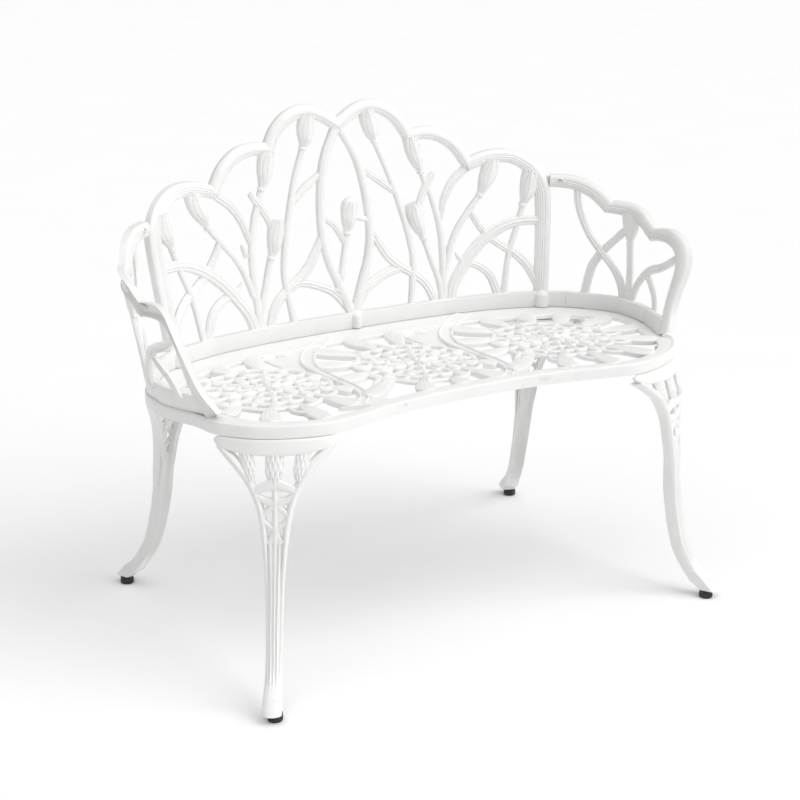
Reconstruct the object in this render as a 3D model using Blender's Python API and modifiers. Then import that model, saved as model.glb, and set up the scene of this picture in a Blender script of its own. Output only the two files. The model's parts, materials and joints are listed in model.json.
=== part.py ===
"""Garden bench of cast aluminium: seat casting, back panel, two arms, four cabriole legs,
screw-in levelling glides and the fasteners that hold the castings together.

Metres, +Z up.  The origin is on the floor under the middle of the feet, the bench faces -Y
and X = 0 is its plane of symmetry.  "left" is -X and "right" is +X."""
import math

import bmesh
import bpy
import numpy as np
from mathutils import Matrix, Vector

# ---------------------------------------------------------------- driving dimensions
seat_height = 0.440        # top of the seat casting above the floor
seat_half_width = 0.4627   # centre line to the inner face of the arm's base rail
seat_back = 0.1878         # inner face of the back's base rail, on the centre line
seat_front = 0.208         # front edge of the seat, on the centre line (towards -Y)
seat_corner = 0.038        # how far the front corners reach past the middle of the front
plate_thickness = 0.008    # openwork plate of the seat
skirt_height = 0.020       # rim of the seat, top to bottom
skirt_wall = 0.004
rim_margin = 0.002         # seat rim showing outside the arms' base rails
rim_margin_back = 0.017    # and behind the back's base rail
rim_band_back = 0.030      # solid band in front of the back and inside the arms
rim_band_front = 0.021     # solid band along the front edge

rail_wall = 0.013          # base rails of back and arms, front to back
rail_height = 0.028
recline = math.radians(9.2)
back_height = 0.384        # middle of the crown rail above the seat
back_reach = 0.377         # middle of the end post, along the base rail from the centre line
arm_height = 0.231         # middle of the arm rail where it meets the back
arm_reach = 0.690          # middle of the arm's foot, along the base rail from the centre line
arm_flare_start = 0.58     # beyond this length the arm leans outwards more and more
arm_flare = 25.0
panel_depth = 0.008        # middle of the stems behind the inner face of the base rails
crown_radius = 0.0120
panel_flatness = 0.62      # depth of rails and stems as a share of their width
stem_radius = 0.0065
rail_split = 0.421         # seam between the back's base rail and the arm's base rail

foot_front_x, foot_front_y = 0.428, 0.296
foot_rear_x, foot_rear_y = 0.420, 0.296
flange_half = 0.092        # half the width of a leg's saddle flange
flange_height = 0.024
flange_wall = 0.006
shelf_wall = 0.008
leg_half_depth = 0.012
shaft_radius = 0.0170      # top of the reeded shaft
ankle_radius = 0.0135
bulb_radius = 0.0165
bulb_inset = 0.005         # middle of the bulb behind the middle of the glide

pad_radius = 0.012
pad_height = 0.014
stud_radius = 0.004
stud_in_leg = 0.020
stud_in_pad = 0.006

bolt_radius = 0.003        # M6 leg bolts
bolt_head_radius = 0.0052
bolt_head = 0.0042
washer_radius = 0.0062
washer_wall = 0.0012
screw_radius = 0.0025      # M5 back and arm screws
screw_head_radius = 0.0042
screw_head = 0.0035
screw_washer_radius = 0.0048
thread_depth = 0.016       # how far a fastener reaches into what it holds
bore_clearance = 0.0003
gap = 0.0003               # between neighbouring solids

# ---------------------------------------------------------------- scene and helpers
for old in list(bpy.data.objects):
    bpy.data.objects.remove(old, do_unlink=True)

parts = bpy.data.collections.new("garden_bench")
cutters = bpy.data.collections.new("cutters")
bpy.context.scene.collection.children.link(parts)
bpy.context.scene.collection.children.link(cutters)


def material(name, colour, roughness, metallic):
    mat = bpy.data.materials.new(name)
    mat.use_nodes = True
    shader = mat.node_tree.nodes["Principled BSDF"]
    shader.inputs["Base Color"].default_value = (*colour, 1.0)
    shader.inputs["Roughness"].default_value = roughness
    shader.inputs["Metallic"].default_value = metallic
    return mat


white_seat = material("white_coat_seat", (0.88, 0.88, 0.87), 0.38, 0.0)
white_back = material("white_coat_back", (0.89, 0.89, 0.88), 0.38, 0.0)
white_arm = material("white_coat_arm", (0.87, 0.87, 0.86), 0.38, 0.0)
white_leg = material("white_coat_leg", (0.88, 0.88, 0.87), 0.40, 0.0)
zinc = material("zinc_steel", (0.62, 0.63, 0.65), 0.35, 1.0)
black_pad = material("black_glide", (0.02, 0.02, 0.022), 0.55, 0.0)


def spline_rows(rows, steps):
    """Smooth curve through the given rows; every column is interpolated alike."""
    rows = np.asarray(rows, dtype=float)
    padded = np.vstack([2 * rows[0] - rows[1], rows, 2 * rows[-1] - rows[-2]])
    out = []
    for i in range(len(rows) - 1):
        p0, p1, p2, p3 = padded[i:i + 4]
        for t in np.arange(steps) / steps:
            out.append(0.5 * (2 * p1 + (p2 - p0) * t + (2 * p0 - 5 * p1 + 4 * p2 - p3) * t ** 2
                              + (3 * p1 - p0 - 3 * p2 + p3) * t ** 3))
    out.append(rows[-1])
    return np.array(out)


def add_object(name, mesh, collection, mat=None):
    obj = bpy.data.objects.new(name, mesh)
    collection.objects.link(obj)
    if mat is not None:
        mesh.materials.clear()
        mesh.materials.append(mat)
    if collection is cutters:
        obj.hide_render = True
        obj.display_type = "WIRE"
    return obj


def baked(obj):
    """The evaluated mesh of an object, in world space, welded at its seams."""
    bpy.context.view_layer.update()
    evaluated = obj.evaluated_get(bpy.context.evaluated_depsgraph_get())
    mesh = bpy.data.meshes.new_from_object(evaluated)
    mesh.transform(obj.matrix_world)
    bm = bmesh.new()
    bm.from_mesh(mesh)
    bmesh.ops.remove_doubles(bm, verts=bm.verts, dist=0.00001)
    bmesh.ops.recalc_face_normals(bm, faces=bm.faces)
    bm.to_mesh(mesh)
    bm.free()
    return mesh


def curve_solid(points, radii, sides=6):
    """Round bar along the points, with its own radius at each."""
    data = bpy.data.curves.new("bar", "CURVE")
    data.dimensions = "3D"
    data.bevel_depth = 1.0
    data.bevel_resolution = (sides - 4) // 2
    data.use_fill_caps = True
    spline = data.splines.new("POLY")
    spline.points.add(len(points) - 1)
    for node, point, radius in zip(spline.points, points, radii):
        node.co = (*point, 1.0)
        node.radius = radius
    obj = add_object("bar", data, cutters)
    mesh = baked(obj)
    bpy.data.objects.remove(obj, do_unlink=True)
    return mesh


def flat_solid(outlines, bottom, top):
    """Flat plate from closed outlines in plan: the first is its edge, the others are holes."""
    data = bpy.data.curves.new("plate", "CURVE")
    data.dimensions = "2D"
    data.fill_mode = "BOTH"
    data.extrude = (top - bottom) / 2
    for outline in outlines:
        spline = data.splines.new("POLY")
        spline.points.add(len(outline) - 1)
        spline.use_cyclic_u = True
        for node, point in zip(spline.points, outline):
            node.co = (point[0], point[1], 0.0, 1.0)
    obj = add_object("plate", data, cutters)
    obj.location.z = (top + bottom) / 2
    mesh = baked(obj)
    bpy.data.objects.remove(obj, do_unlink=True)
    return mesh


def sheet_solid(rows, thickness, offset=0.0):
    """Bent sheet through a grid of points, thickened with Solidify."""
    across = len(rows[0])
    bm = bmesh.new()
    bmesh.ops.create_grid(bm, x_segments=len(rows) - 1, y_segments=across - 1, size=1.0)
    bm.verts.ensure_lookup_table()
    ordered = sorted(bm.verts, key=lambda v: (round(v.co.x, 5), round(v.co.y, 5)))
    for vert, point in zip(ordered, [p for row in rows for p in row]):
        vert.co = point
    mesh = bpy.data.meshes.new("sheet")
    bm.to_mesh(mesh)
    bm.free()
    obj = add_object("sheet", mesh, cutters)
    solid = obj.modifiers.new("wall", "SOLIDIFY")
    solid.thickness = thickness
    solid.offset = offset
    out = baked(obj)
    bpy.data.objects.remove(obj, do_unlink=True)
    return out


def lathe(profile, centre, segments=12):
    """Solid of revolution about a vertical axis from (radius, height) pairs, top to bottom."""
    bm = bmesh.new()
    verts = [bm.verts.new((radius, 0.0, height)) for radius, height in profile]
    for a, b in zip(verts, verts[1:]):
        bm.edges.new((a, b))
    mesh = bpy.data.meshes.new("profile")
    bm.to_mesh(mesh)
    bm.free()
    obj = add_object("profile", mesh, cutters)
    turn = obj.modifiers.new("turn", "SCREW")
    turn.steps = segments
    turn.render_steps = segments
    turn.use_merge_vertices = True
    turn.merge_threshold = 0.00001
    out = baked(obj)
    out.transform(Matrix.Translation(centre))
    bpy.data.objects.remove(obj, do_unlink=True)
    return out


def cylinder(start, end, radius, segments=8):
    start, end = Vector(start), Vector(end)
    axis = end - start
    bm = bmesh.new()
    bmesh.ops.create_cone(bm, cap_ends=True, segments=segments, radius1=radius, radius2=radius,
                          depth=axis.length)
    mesh = bpy.data.meshes.new("cylinder")
    bm.to_mesh(mesh)
    bm.free()
    turn = axis.to_track_quat("Z", "Y").to_matrix().to_4x4()
    mesh.transform(Matrix.Translation((start + end) / 2) @ turn)
    return mesh


def bore_radius(radius, segments=8):
    """Radius of a bore whose flats clear a round shank of the given radius."""
    return (radius + bore_clearance) / math.cos(math.pi / segments)


def mirrored(mesh):
    """The same solid on the other side of X = 0."""
    copy = mesh.copy()
    copy.transform(Matrix.Scale(-1, 4, (1, 0, 0)))
    copy.flip_normals()
    return copy


def combined(meshes, operation, base):
    """Boolean of a base mesh with all the others at once."""
    others = bpy.data.collections.new("operands")
    bpy.context.scene.collection.children.link(others)
    for mesh in meshes:
        others.objects.link(bpy.data.objects.new("operand", mesh))
    obj = add_object("base", base, cutters)
    boolean = obj.modifiers.new("combine", "BOOLEAN")
    boolean.operation = operation
    boolean.solver = "EXACT"
    boolean.operand_type = "COLLECTION"
    boolean.collection = others
    out = baked(obj)
    for used in [obj, *others.objects]:
        bpy.data.objects.remove(used, do_unlink=True)
    bpy.data.collections.remove(others)
    return out


def casting(name, solids, bores, mat, origin=(0.0, 0.0, 0.0)):
    """One cast body: its solids joined, then bored; origin is a point on a moving body's axis."""
    mesh = combined(solids[1:], "UNION", solids[0]) if len(solids) > 1 else solids[0]
    if bores:
        mesh = combined(bores, "DIFFERENCE", mesh)
    mesh.transform(Matrix.Translation(-Vector(origin)))
    obj = add_object(name, mesh, parts, mat)
    obj.location = origin
    mesh.name = name
    mesh.shade_smooth()
    mesh.set_sharp_from_angle(angle=math.radians(35))
    return obj


# ---------------------------------------------------------------- plan of the bench
# Inner edge of the base rails, right half, as shares of seat_half_width and seat_back,
# from the centre line round the side to the foot of the arm.
seam_shape = [(0.0, 1.0), (0.218, 0.992), (0.437, 0.953), (0.653, 0.852), (0.850, 0.634),
              (0.983, 0.225), (1.0, -0.046), (0.987, -0.312), (0.906, -0.809)]
seam_half = spline_rows([(x * seat_half_width, y * seat_back) for x, y in seam_shape], 8)
seam_lengths = np.concatenate([[0.0], np.cumsum(np.hypot(*np.diff(seam_half, axis=0).T))])


def seam(s):
    """Point and outward direction in plan at the length s along the base rails."""
    side = -1.0 if s < 0 else 1.0
    length = abs(s)
    step = 0.002
    here, ahead, behind = (
        np.array([np.interp(v, seam_lengths, seam_half[:, 0]),
                  np.interp(v, seam_lengths, seam_half[:, 1])])
        for v in (length, min(length + step, seam_lengths[-1]), max(length - step, 0.0)))
    along = ahead - behind
    along = along / np.hypot(*along)
    out = np.array([-along[1], along[0]])
    return Vector((side * here[0], here[1])), Vector((side * out[0], out[1]))


def plan_offset(s, distance):
    point, out = seam(s)
    return point + out * distance


def panel_point(s, h, depth=panel_depth):
    """Point on the reclined surface of back and arms: s along it, h above the seat."""
    point, out = seam(s)
    shift = out * (depth + math.tan(recline) * h)
    flare = math.copysign(arm_flare * max(0.0, abs(s) - arm_flare_start) ** 2 * max(0.0, h), s)
    return Vector((point.x + shift.x + flare, point.y + shift.y, seat_height + gap + h))


def bent(mesh):
    """A solid drawn flat, as (along, above, depth), laid on the surface of back and arms."""
    for vert in mesh.vertices:
        s, h, depth = vert.co
        vert.co = panel_point(s, h, panel_depth + depth * panel_flatness)
    return mesh


def rim_out(s):
    """How far the seat's edge stands outside the inner face of the base rails."""
    return rail_wall + float(np.interp(s, [0.35, 0.50], [rim_margin_back, rim_margin]))


rim_leaves_seam = seam_lengths[-1] - 0.0524
side_points = [plan_offset(s, rim_out(s)) for s in np.linspace(0.0, rim_leaves_seam, 11)]

front_shape = [(0.964, 0.28 * seat_front), (0.928, 0.155 * seat_front), (0.864, -seat_corner + 0.040),
               (0.759, -seat_corner + 0.0135), (0.635, -seat_corner), (0.506, -seat_corner + 0.0085),
               (0.346, -0.0115), (0.158, -0.0015), (0.0, 0.0)]
front_points = [(share * seat_half_width, y - seat_front) for share, y in front_shape]
rim_half = spline_rows([tuple(p) for p in side_points] + front_points, 2)


def closed_outline(half):
    """Both halves of an outline that runs from back to front on the right."""
    left = [(-x, y) for x, y in half[1:-1]][::-1]
    return [tuple(p) for p in half] + left


def inset(half, distances):
    """Outline moved inwards by its own distance at each point."""
    along = np.gradient(half, axis=0)
    along[0], along[-1] = (1.0, 0.0), (-1.0, 0.0)
    along /= np.hypot(along[:, 0], along[:, 1])[:, None]
    inward = np.stack([along[:, 1], -along[:, 0]], axis=1)
    return half + inward * np.asarray(distances)[:, None]


# ---------------------------------------------------------------- fasteners
def screw_set(name, axis_point, up_to, seat_z, radius, head_radius, head, ring_radius):
    """Screw from below with its washer: the head bears on seat_z, the shank ends at up_to."""
    x, y = axis_point
    head_top = seat_z - gap - washer_wall - gap
    profile = [(0.0, up_to), (radius, up_to), (radius, head_top), (head_radius, head_top),
               (head_radius, head_top - head), (0.0, head_top - head)]
    casting(name, [lathe(profile, (x, y, 0.0), 8)], [], zinc)
    hole = bore_radius(radius)
    ring = [(hole, -washer_wall), (hole, 0.0), (ring_radius, 0.0), (ring_radius, -washer_wall),
            (hole, -washer_wall)]
    casting(name.replace("bolt", "washer"), [lathe(ring, (x, y, seat_z - gap), 8)], [], zinc)


def bore_for(axis_point, low, high, radius):
    x, y = axis_point
    return cylinder((x, y, low), (x, y, high), bore_radius(radius))


back_bolt_places = [-0.29, -0.10, 0.10, 0.29]
arm_bolt_places = {"rear": 0.475, "front": 0.625}
rail_bolt_depth = 0.0056
rail_bolt_top = seat_height + gap + thread_depth
plate_bottom = seat_height - plate_thickness

# ---------------------------------------------------------------- legs
leg_normal_front = Vector((0.54, -0.842))
leg_normal_rear = Vector((0.353, 0.935))


def rim_hit(direction, start):
    """Where the rim's outer edge is met, going from start along direction."""
    best = None
    for a, b in zip(rim_half, rim_half[1:]):
        edge = Vector(b) - Vector(a)
        cross = direction.x * edge.y - direction.y * edge.x
        if abs(cross) < 1e-9:
            continue
        rel = Vector(a) - start
        t = (rel.x * edge.y - rel.y * edge.x) / cross
        k = (rel.x * direction.y - rel.y * direction.x) / cross
        if -1e-6 <= k <= 1 + 1e-6 and t > 0:
            best = t if best is None else max(best, t)
    return start + direction * best


class Leg:
    """Leg on the right side: u across it, w outwards, z up, bending round the rim."""

    def __init__(self, foot, normal, lean, flare, flare_power):
        self.lean, self.flare, self.flare_power = lean, flare, flare_power
        self.normal = normal.normalized()
        self.across = Vector((-self.normal.y, self.normal.x))
        self.top = rim_hit(self.normal, Vector(foot) - self.normal * 0.30)
        reach = Vector(foot) - self.top
        self.reach = reach.dot(self.normal)
        self.drift = reach.dot(self.across)
        self.sag = []
        for u in np.linspace(-flange_half, flange_half, 9):
            hit = rim_hit(self.normal, self.top + self.across * float(u) - self.normal * 0.12)
            self.sag.append((float(u), (hit - self.top).dot(self.normal)))

    def bend(self, u):
        us, ws = zip(*self.sag)
        return float(np.interp(u, us, ws))

    def point(self, u, z, w=0.0):
        """Point on the leg; w is measured outwards from the face of its upper part."""
        drop = min(1.0, max(0.0, 1.0 - (z - pad_height) / (seat_height - skirt_height - pad_height)))
        share = self.lean * drop + self.flare * drop ** self.flare_power
        face = leg_half_depth * min(1.0, drop / 0.12)
        bend = self.bend(u) * (1.0 - 0.6 * min(1.0, drop / 0.25))
        plan = (self.top + self.across * (u + self.drift * share)
                + self.normal * (self.reach * share + face + w + bend))
        return Vector((plan.x, plan.y, z))


under_rim = seat_height - skirt_height - gap
flange_top = under_rim - 0.0014   # the flange leans, so its upper edge stays a little lower
# Openwork of a leg: (across, below the seat's top)
strut_path = [(0.085, 0.036), (0.051, 0.063), (0.038, 0.085), (0.0285, 0.100), (0.0215, 0.120),
              (0.0155, 0.148), (0.0125, 0.178)]
arch_paths = [[(-0.031, 0.098), (-0.016, 0.089), (0.0, 0.086), (0.016, 0.089), (0.031, 0.098)],
              [(-0.026, 0.109), (0.0, 0.118), (0.026, 0.109)],
              [(-0.021, 0.124), (0.0, 0.134), (0.0155, 0.154)],
              [(0.021, 0.124), (0.0, 0.134), (-0.0155, 0.154)]]
shaft_top = seat_height - 0.165
bundle_places = [-0.042, 0.0, 0.042]


def foot_point(leg):
    return leg.top + leg.across * leg.drift + leg.normal * leg.reach


def leg_solids(leg):
    solids = []
    rows = []
    for u in np.linspace(-flange_half, flange_half, 9):
        drop = flange_height * (1.0 - 0.4 * (u / flange_half) ** 2)
        rows.append([leg.point(u, flange_top, -flange_wall / 2 + 0.001),
                     leg.point(u, flange_top - drop, -flange_wall / 2 + 0.001)])
    solids.append(sheet_solid(rows, flange_wall))
    rows = []
    for u in np.linspace(-0.062, 0.062, 5):
        outer = leg.point(u, under_rim - shelf_wall / 2, -flange_wall / 2)
        inner = leg.point(u, under_rim - shelf_wall / 2, -0.048)
        rows.append([outer, inner])
    solids.append(sheet_solid(rows, shelf_wall))
    for side in (-1, 1):
        rows = [[leg.point(side * u, seat_height - below, w) for w in (-0.001, -0.020)]
                for u, below in strut_path]
        solids.append(sheet_solid(rows, 0.0065))
    for k, path in enumerate(arch_paths):
        solids.append(curve_solid([leg.point(u, seat_height - below, -0.0055 - 0.0004 * k)
                                   for u, below in path],
                                  [0.0043 - 0.0001 * k] * len(path)))
    for place in bundle_places:
        drops = [0.038, 0.055, 0.072, 0.088 if place == 0.0 else 0.080]
        radii = [0.0075, 0.0105, 0.009, 0.0055]
        solids.append(curve_solid([leg.point(place * (1.0 - 0.9 * (below - 0.038)),
                                             seat_height - below, -0.0065) for below in drops], radii))
    rib = [leg.point(0.0, seat_height - below, -0.007) for below in (0.082, 0.126, 0.178)]
    solids.append(curve_solid(rib, [0.0036] * 3))
    shares = [1.0, 0.818, 0.614, 0.432, 0.25, 0.114, 0.0]
    heights = [0.055 + (shaft_top - 0.055) * share for share in shares] + [0.040, 0.028]
    radii = np.interp(heights, [heights[5], heights[2], shaft_top], [ankle_radius, 0.0145, shaft_radius])
    behind = np.interp(heights, [0.028, 0.055], [leg_half_depth + 0.006, leg_half_depth])
    line = [leg.point(0.0, z, -w) for z, w in zip(heights, behind)]
    solids.append(curve_solid(line, radii, 8))
    bulb = [(0.0, 0.041), (0.009, 0.0395), (0.0140, 0.034), (bulb_radius, 0.027), (bulb_radius, 0.021),
            (0.0145, pad_height + gap), (0.0, pad_height + gap)]
    spot = foot_point(leg) - leg.normal * bulb_inset
    solids.append(lathe(bulb, (spot.x, spot.y, 0.0), 10))
    return solids


legs = {"front": Leg((foot_front_x, -foot_front_y), leg_normal_front, 0.40, 0.50, 7.0),
        "rear": Leg((foot_rear_x, foot_rear_y), leg_normal_rear, 0.55, 0.42, 5.5)}
leg_bolt_places = {"inner": -0.040, "outer": 0.040}
leg_bolt_inset = -0.031


def leg_bolt_point(leg, u):
    spot = leg.point(u, under_rim, leg_bolt_inset)
    return (spot.x, spot.y)


for end, leg in legs.items():
    foot = foot_point(leg)
    bores = [bore_for(leg_bolt_point(leg, u), under_rim - 0.03, under_rim + 0.01, bolt_radius)
             for u in leg_bolt_places.values()]
    stud_end = pad_height + stud_in_leg
    bores.append(bore_for(foot, pad_height - 0.01, stud_end + 0.002, stud_radius))
    right = casting(f"leg_{end}_right", leg_solids(leg), bores, white_leg)
    casting(f"leg_{end}_left", [mirrored(right.data)], [], white_leg)
    for side, sign in (("right", 1), ("left", -1)):
        stud = [(0.0, stud_end), (stud_radius, stud_end),
                (stud_radius, pad_height - stud_in_pad), (0.0, pad_height - stud_in_pad)]
        axis = (sign * foot.x, foot.y, 0.0)
        casting(f"glide_stud_{end}_{side}", [lathe(stud, axis)], [], zinc, axis)
        socket = bore_radius(stud_radius)
        pad = [(socket, pad_height), (pad_radius * 0.92, pad_height), (pad_radius, pad_height - 0.0015),
               (pad_radius, 0.0018), (pad_radius * 0.86, 0.0), (0.0, 0.0)]
        pad = [(0.0, pad_height - stud_in_pad - gap), (socket, pad_height - stud_in_pad - gap)] + pad
        casting(f"glide_pad_{end}_{side}", [lathe(pad, axis, 12)], [], black_pad, axis)
        for where, u in leg_bolt_places.items():
            x, y = leg_bolt_point(leg, u)
            screw_set(f"leg_bolt_{end}_{side}_{where}", (sign * x, y), under_rim + gap + thread_depth - 0.002,
                      under_rim - shelf_wall, bolt_radius, bolt_head_radius, bolt_head, washer_radius)

# ---------------------------------------------------------------- seat
def ring_cell(centre, r0, r1, a0, a1, squash):
    """Hole between two radii and two angles about the middle of a medallion."""
    steps = 2
    angles = np.linspace(a0, a1, steps + 1)
    outer = [(centre[0] + squash * r1 * math.cos(a), centre[1] + r1 * math.sin(a)) for a in angles]
    inner = [(centre[0] + squash * r0 * math.cos(a), centre[1] + r0 * math.sin(a)) for a in angles[::-1]]
    return outer + inner


def seat_holes():
    holes = []
    spokes = 10
    for centre in [(-0.275, -0.040), (0.0, -0.018), (0.275, -0.040)]:
        for r0, r1, spoke_gap in ((0.018, 0.040, 0.0045), (0.048, 0.078, 0.006), (0.086, 0.122, 0.0085)):
            for k in range(spokes):
                if r0 < 0.03 and k % 2:
                    continue
                width = 2 * math.pi / spokes * (2 if r0 < 0.03 else 1)
                a0 = 2 * math.pi * k / spokes
                trim = spoke_gap / (0.5 * (r0 + r1))
                holes.append(ring_cell(centre, r0, r1, a0 + trim, a0 + width - trim, 0.98))
    for x in (-0.1375, 0.1375):
        for sign, y, size in ((1, 0.088, 0.030), (-1, -0.135, 0.022)):
            corners = [(x - size, y + sign * size), (x + size, y + sign * size), (x, y - sign * size)]
            holes.append(corners[::sign])
    for side in (-1, 1):
        holes.append([(side * 0.405, 0.055), (side * 0.375, 0.085), (side * 0.385, 0.03)][::side])
    return holes


rim_edge = closed_outline(rim_half)
skirt_inner = closed_outline(inset(rim_half, [skirt_wall] * len(rim_half)))
plate_edge = closed_outline(inset(rim_half, [skirt_wall / 2] * len(rim_half)))
boss_radius = bolt_radius + 0.006
seat_solids = [flat_solid([plate_edge] + seat_holes(), plate_bottom, seat_height - 0.0005),
               flat_solid([rim_edge, skirt_inner], seat_height - skirt_height, seat_height)]
seat_bores = []
for leg in legs.values():
    for u in leg_bolt_places.values():
        x, y = leg_bolt_point(leg, u)
        for sign in (-1, 1):
            seat_solids.append(cylinder((sign * x, y, seat_height - skirt_height),
                                        (sign * x, y, plate_bottom + 0.002), boss_radius))
            seat_bores.append(bore_for((sign * x, y), seat_height - skirt_height - 0.01,
                                       under_rim + thread_depth, bolt_radius))
rail_bolts = {f"back_bolt_{i + 1}": s for i, s in enumerate(back_bolt_places)}
for where, s in arm_bolt_places.items():
    rail_bolts[f"arm_bolt_left_{where}"] = -s
    rail_bolts[f"arm_bolt_right_{where}"] = s
for name, s in rail_bolts.items():
    spot = plan_offset(s, rail_bolt_depth)
    seat_bores.append(bore_for(spot, plate_bottom - 0.01, seat_height + 0.01, screw_radius))
    screw_set(name, spot, rail_bolt_top, plate_bottom, screw_radius, screw_head_radius, screw_head,
              screw_washer_radius)
casting("seat_panel", seat_solids, seat_bores, white_seat)


def rail_bores(names):
    return [bore_for(plan_offset(rail_bolts[n], rail_bolt_depth), seat_height - 0.01,
                     rail_bolt_top + gap, screw_radius) for n in names]


# ---------------------------------------------------------------- back and arms
# Paths on the unrolled panel: (along, above the seat), drawn for these two sizes and
# stretched with the real ones.
drawn_height, drawn_reach = 0.384, 0.377
drawn_arm_height, drawn_arm_reach = 0.231, 0.690
crown_paths = [
    [(0.0, 0.3555), (0.035, 0.3765), (0.065, 0.384), (0.095, 0.3755), (0.12, 0.3545), (0.138, 0.3265)],
    [(0.138, 0.3265), (0.17, 0.3285), (0.2, 0.3205), (0.228, 0.299), (0.2505, 0.2655)],
    [(0.2505, 0.2655), (0.275, 0.2745), (0.303, 0.2785), (0.333, 0.2735), (0.36, 0.2535),
     (0.377, 0.2215), (0.380, 0.18), (0.379, 0.1), (0.377, 0.016)]]
# (along, above, share of stem_radius)
stem_paths = [
    [(0.003, 0.352, 1.1), (0.030, 0.3015, 1.15), (0.042, 0.2565, 1.15), (0.048, 0.2065, 1.15),
     (0.048, 0.1615, 1.15), (0.039, 0.1165, 1.2), (0.023, 0.0765, 1.3), (0.004, 0.035, 1.5)],
    [(0.060, 0.374, 1.0), (0.063, 0.356, 2.3), (0.067, 0.335, 2.0), (0.072, 0.320, 1.0), (0.086, 0.286, 0.9),
     (0.100, 0.246, 0.9), (0.114, 0.196, 0.9), (0.126, 0.146, 0.95), (0.131, 0.106, 1.0), (0.127, 0.070, 1.0),
     (0.122, 0.018, 1.1)],
    [(0.142, 0.322, 1.2), (0.147, 0.300, 2.4), (0.153, 0.276, 2.0), (0.160, 0.257, 1.0),
     (0.168, 0.236, 0.9), (0.179, 0.206, 0.9), (0.189, 0.156, 1.0), (0.191, 0.106, 1.05),
     (0.189, 0.056, 1.1), (0.188, 0.018, 1.2)],
    [(0.138, 0.202, 0.9), (0.140, 0.185, 2.3), (0.147, 0.160, 2.1), (0.156, 0.140, 1.0), (0.169, 0.097, 0.9),
     (0.181, 0.057, 1.0), (0.185, 0.018, 1.1)],
    [(0.292, 0.272, 1.0), (0.286, 0.250, 2.3), (0.278, 0.228, 1.9), (0.268, 0.207, 1.0), (0.246, 0.180, 0.9),
     (0.224, 0.152, 0.9), (0.208, 0.122, 0.9), (0.197, 0.085, 0.9)],
    [(0.358, 0.247, 0.9), (0.357, 0.225, 2.3), (0.352, 0.205, 2.0), (0.345, 0.186, 1.0), (0.334, 0.146, 0.85),
     (0.322, 0.111, 0.85), (0.314, 0.076, 0.9), (0.307, 0.018, 1.0)],
    [(0.248, 0.262, 1.1), (0.222, 0.240, 1.2), (0.203, 0.212, 1.1), (0.193, 0.172, 0.9)],
    [(0.044, 0.272, 0.9), (0.075, 0.252, 1.1), (0.106, 0.226, 0.9)],
    [(0.049, 0.172, 0.8), (0.064, 0.142, 1.1), (0.080, 0.116, 1.3), (0.100, 0.098, 1.3), (0.134, 0.077, 1.3),
     (0.155, 0.056, 1.3), (0.172, 0.018, 1.2)],
    [(0.008, 0.034, 1.4), (0.034, 0.066, 1.3), (0.064, 0.082, 1.3), (0.088, 0.090, 1.2), (0.116, 0.090, 0.9)],
    [(0.378, 0.158, 1.0), (0.345, 0.159, 1.3), (0.313, 0.152, 1.5), (0.283, 0.136, 1.6), (0.254, 0.111, 1.6),
     (0.229, 0.081, 1.6), (0.209, 0.051, 1.6), (0.201, 0.018, 1.5)],
    [(0.247, 0.185, 0.7), (0.260, 0.163, 0.9), (0.280, 0.135, 1.0), (0.304, 0.116, 1.1), (0.329, 0.100, 1.2),
     (0.352, 0.076, 1.3), (0.371, 0.040, 1.1)],
    [(0.219, 0.104, 0.6), (0.238, 0.091, 1.0), (0.263, 0.080, 1.2), (0.283, 0.060, 1.2), (0.298, 0.018, 1.2)],
    [(0.183, 0.252, 0.6), (0.169, 0.238, 1.0), (0.155, 0.212, 1.0), (0.150, 0.192, 0.8)]]
free_bud = [(0.012, 0.226, 1.0), (0.010, 0.208, 2.6), (0.005, 0.185, 2.3), (0.001, 0.167, 1.1),
            (-0.008, 0.130, 0.9), (-0.020, 0.086, 0.9), (-0.030, 0.074, 0.9)]
bud_ties = [[(0.016, 0.196, 1.0), (0.030, 0.190, 0.8), (0.046, 0.186, 0.9)],
            [(-0.047, 0.200, 1.0), (-0.022, 0.182, 1.1), (-0.004, 0.150, 1.0)]]
arm_rails = [
    [(0.391, 0.231), (0.405, 0.230), (0.426, 0.227), (0.452, 0.216), (0.474, 0.198), (0.485, 0.187)],
    [(0.485, 0.187), (0.501, 0.188), (0.519, 0.185), (0.542, 0.173), (0.560, 0.163), (0.577, 0.153)],
    [(0.577, 0.153), (0.602, 0.159), (0.624, 0.158), (0.647, 0.148), (0.662, 0.129), (0.669, 0.107),
     (0.670, 0.084), (0.673, 0.060), (0.680, 0.036), (0.688, 0.014)]]
arm_stems = [
    [(0.429, 0.219, 1.1), (0.433, 0.190, 1.0), (0.442, 0.161, 1.0), (0.456, 0.133, 1.0), (0.478, 0.105, 1.1),
     (0.497, 0.085, 1.1), (0.511, 0.065, 1.1), (0.520, 0.045, 1.1), (0.526, 0.018, 1.1)],
    [(0.520, 0.184, 1.2), (0.522, 0.160, 2.2), (0.523, 0.140, 2.0), (0.525, 0.124, 1.1), (0.530, 0.079, 0.9),
     (0.536, 0.018, 1.0)],
    [(0.514, 0.148, 1.0), (0.502, 0.131, 1.1), (0.487, 0.114, 1.2), (0.471, 0.092, 1.2), (0.461, 0.069, 1.2),
     (0.452, 0.018, 1.2)],
    [(0.662, 0.137, 1.2), (0.648, 0.127, 1.2), (0.632, 0.113, 1.1), (0.610, 0.102, 1.2), (0.584, 0.091, 1.2),
     (0.567, 0.076, 1.2), (0.553, 0.055, 1.2), (0.543, 0.018, 1.3)],
    [(0.574, 0.080, 0.8), (0.594, 0.062, 1.0), (0.611, 0.045, 1.0), (0.624, 0.018, 1.1)]]


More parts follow.
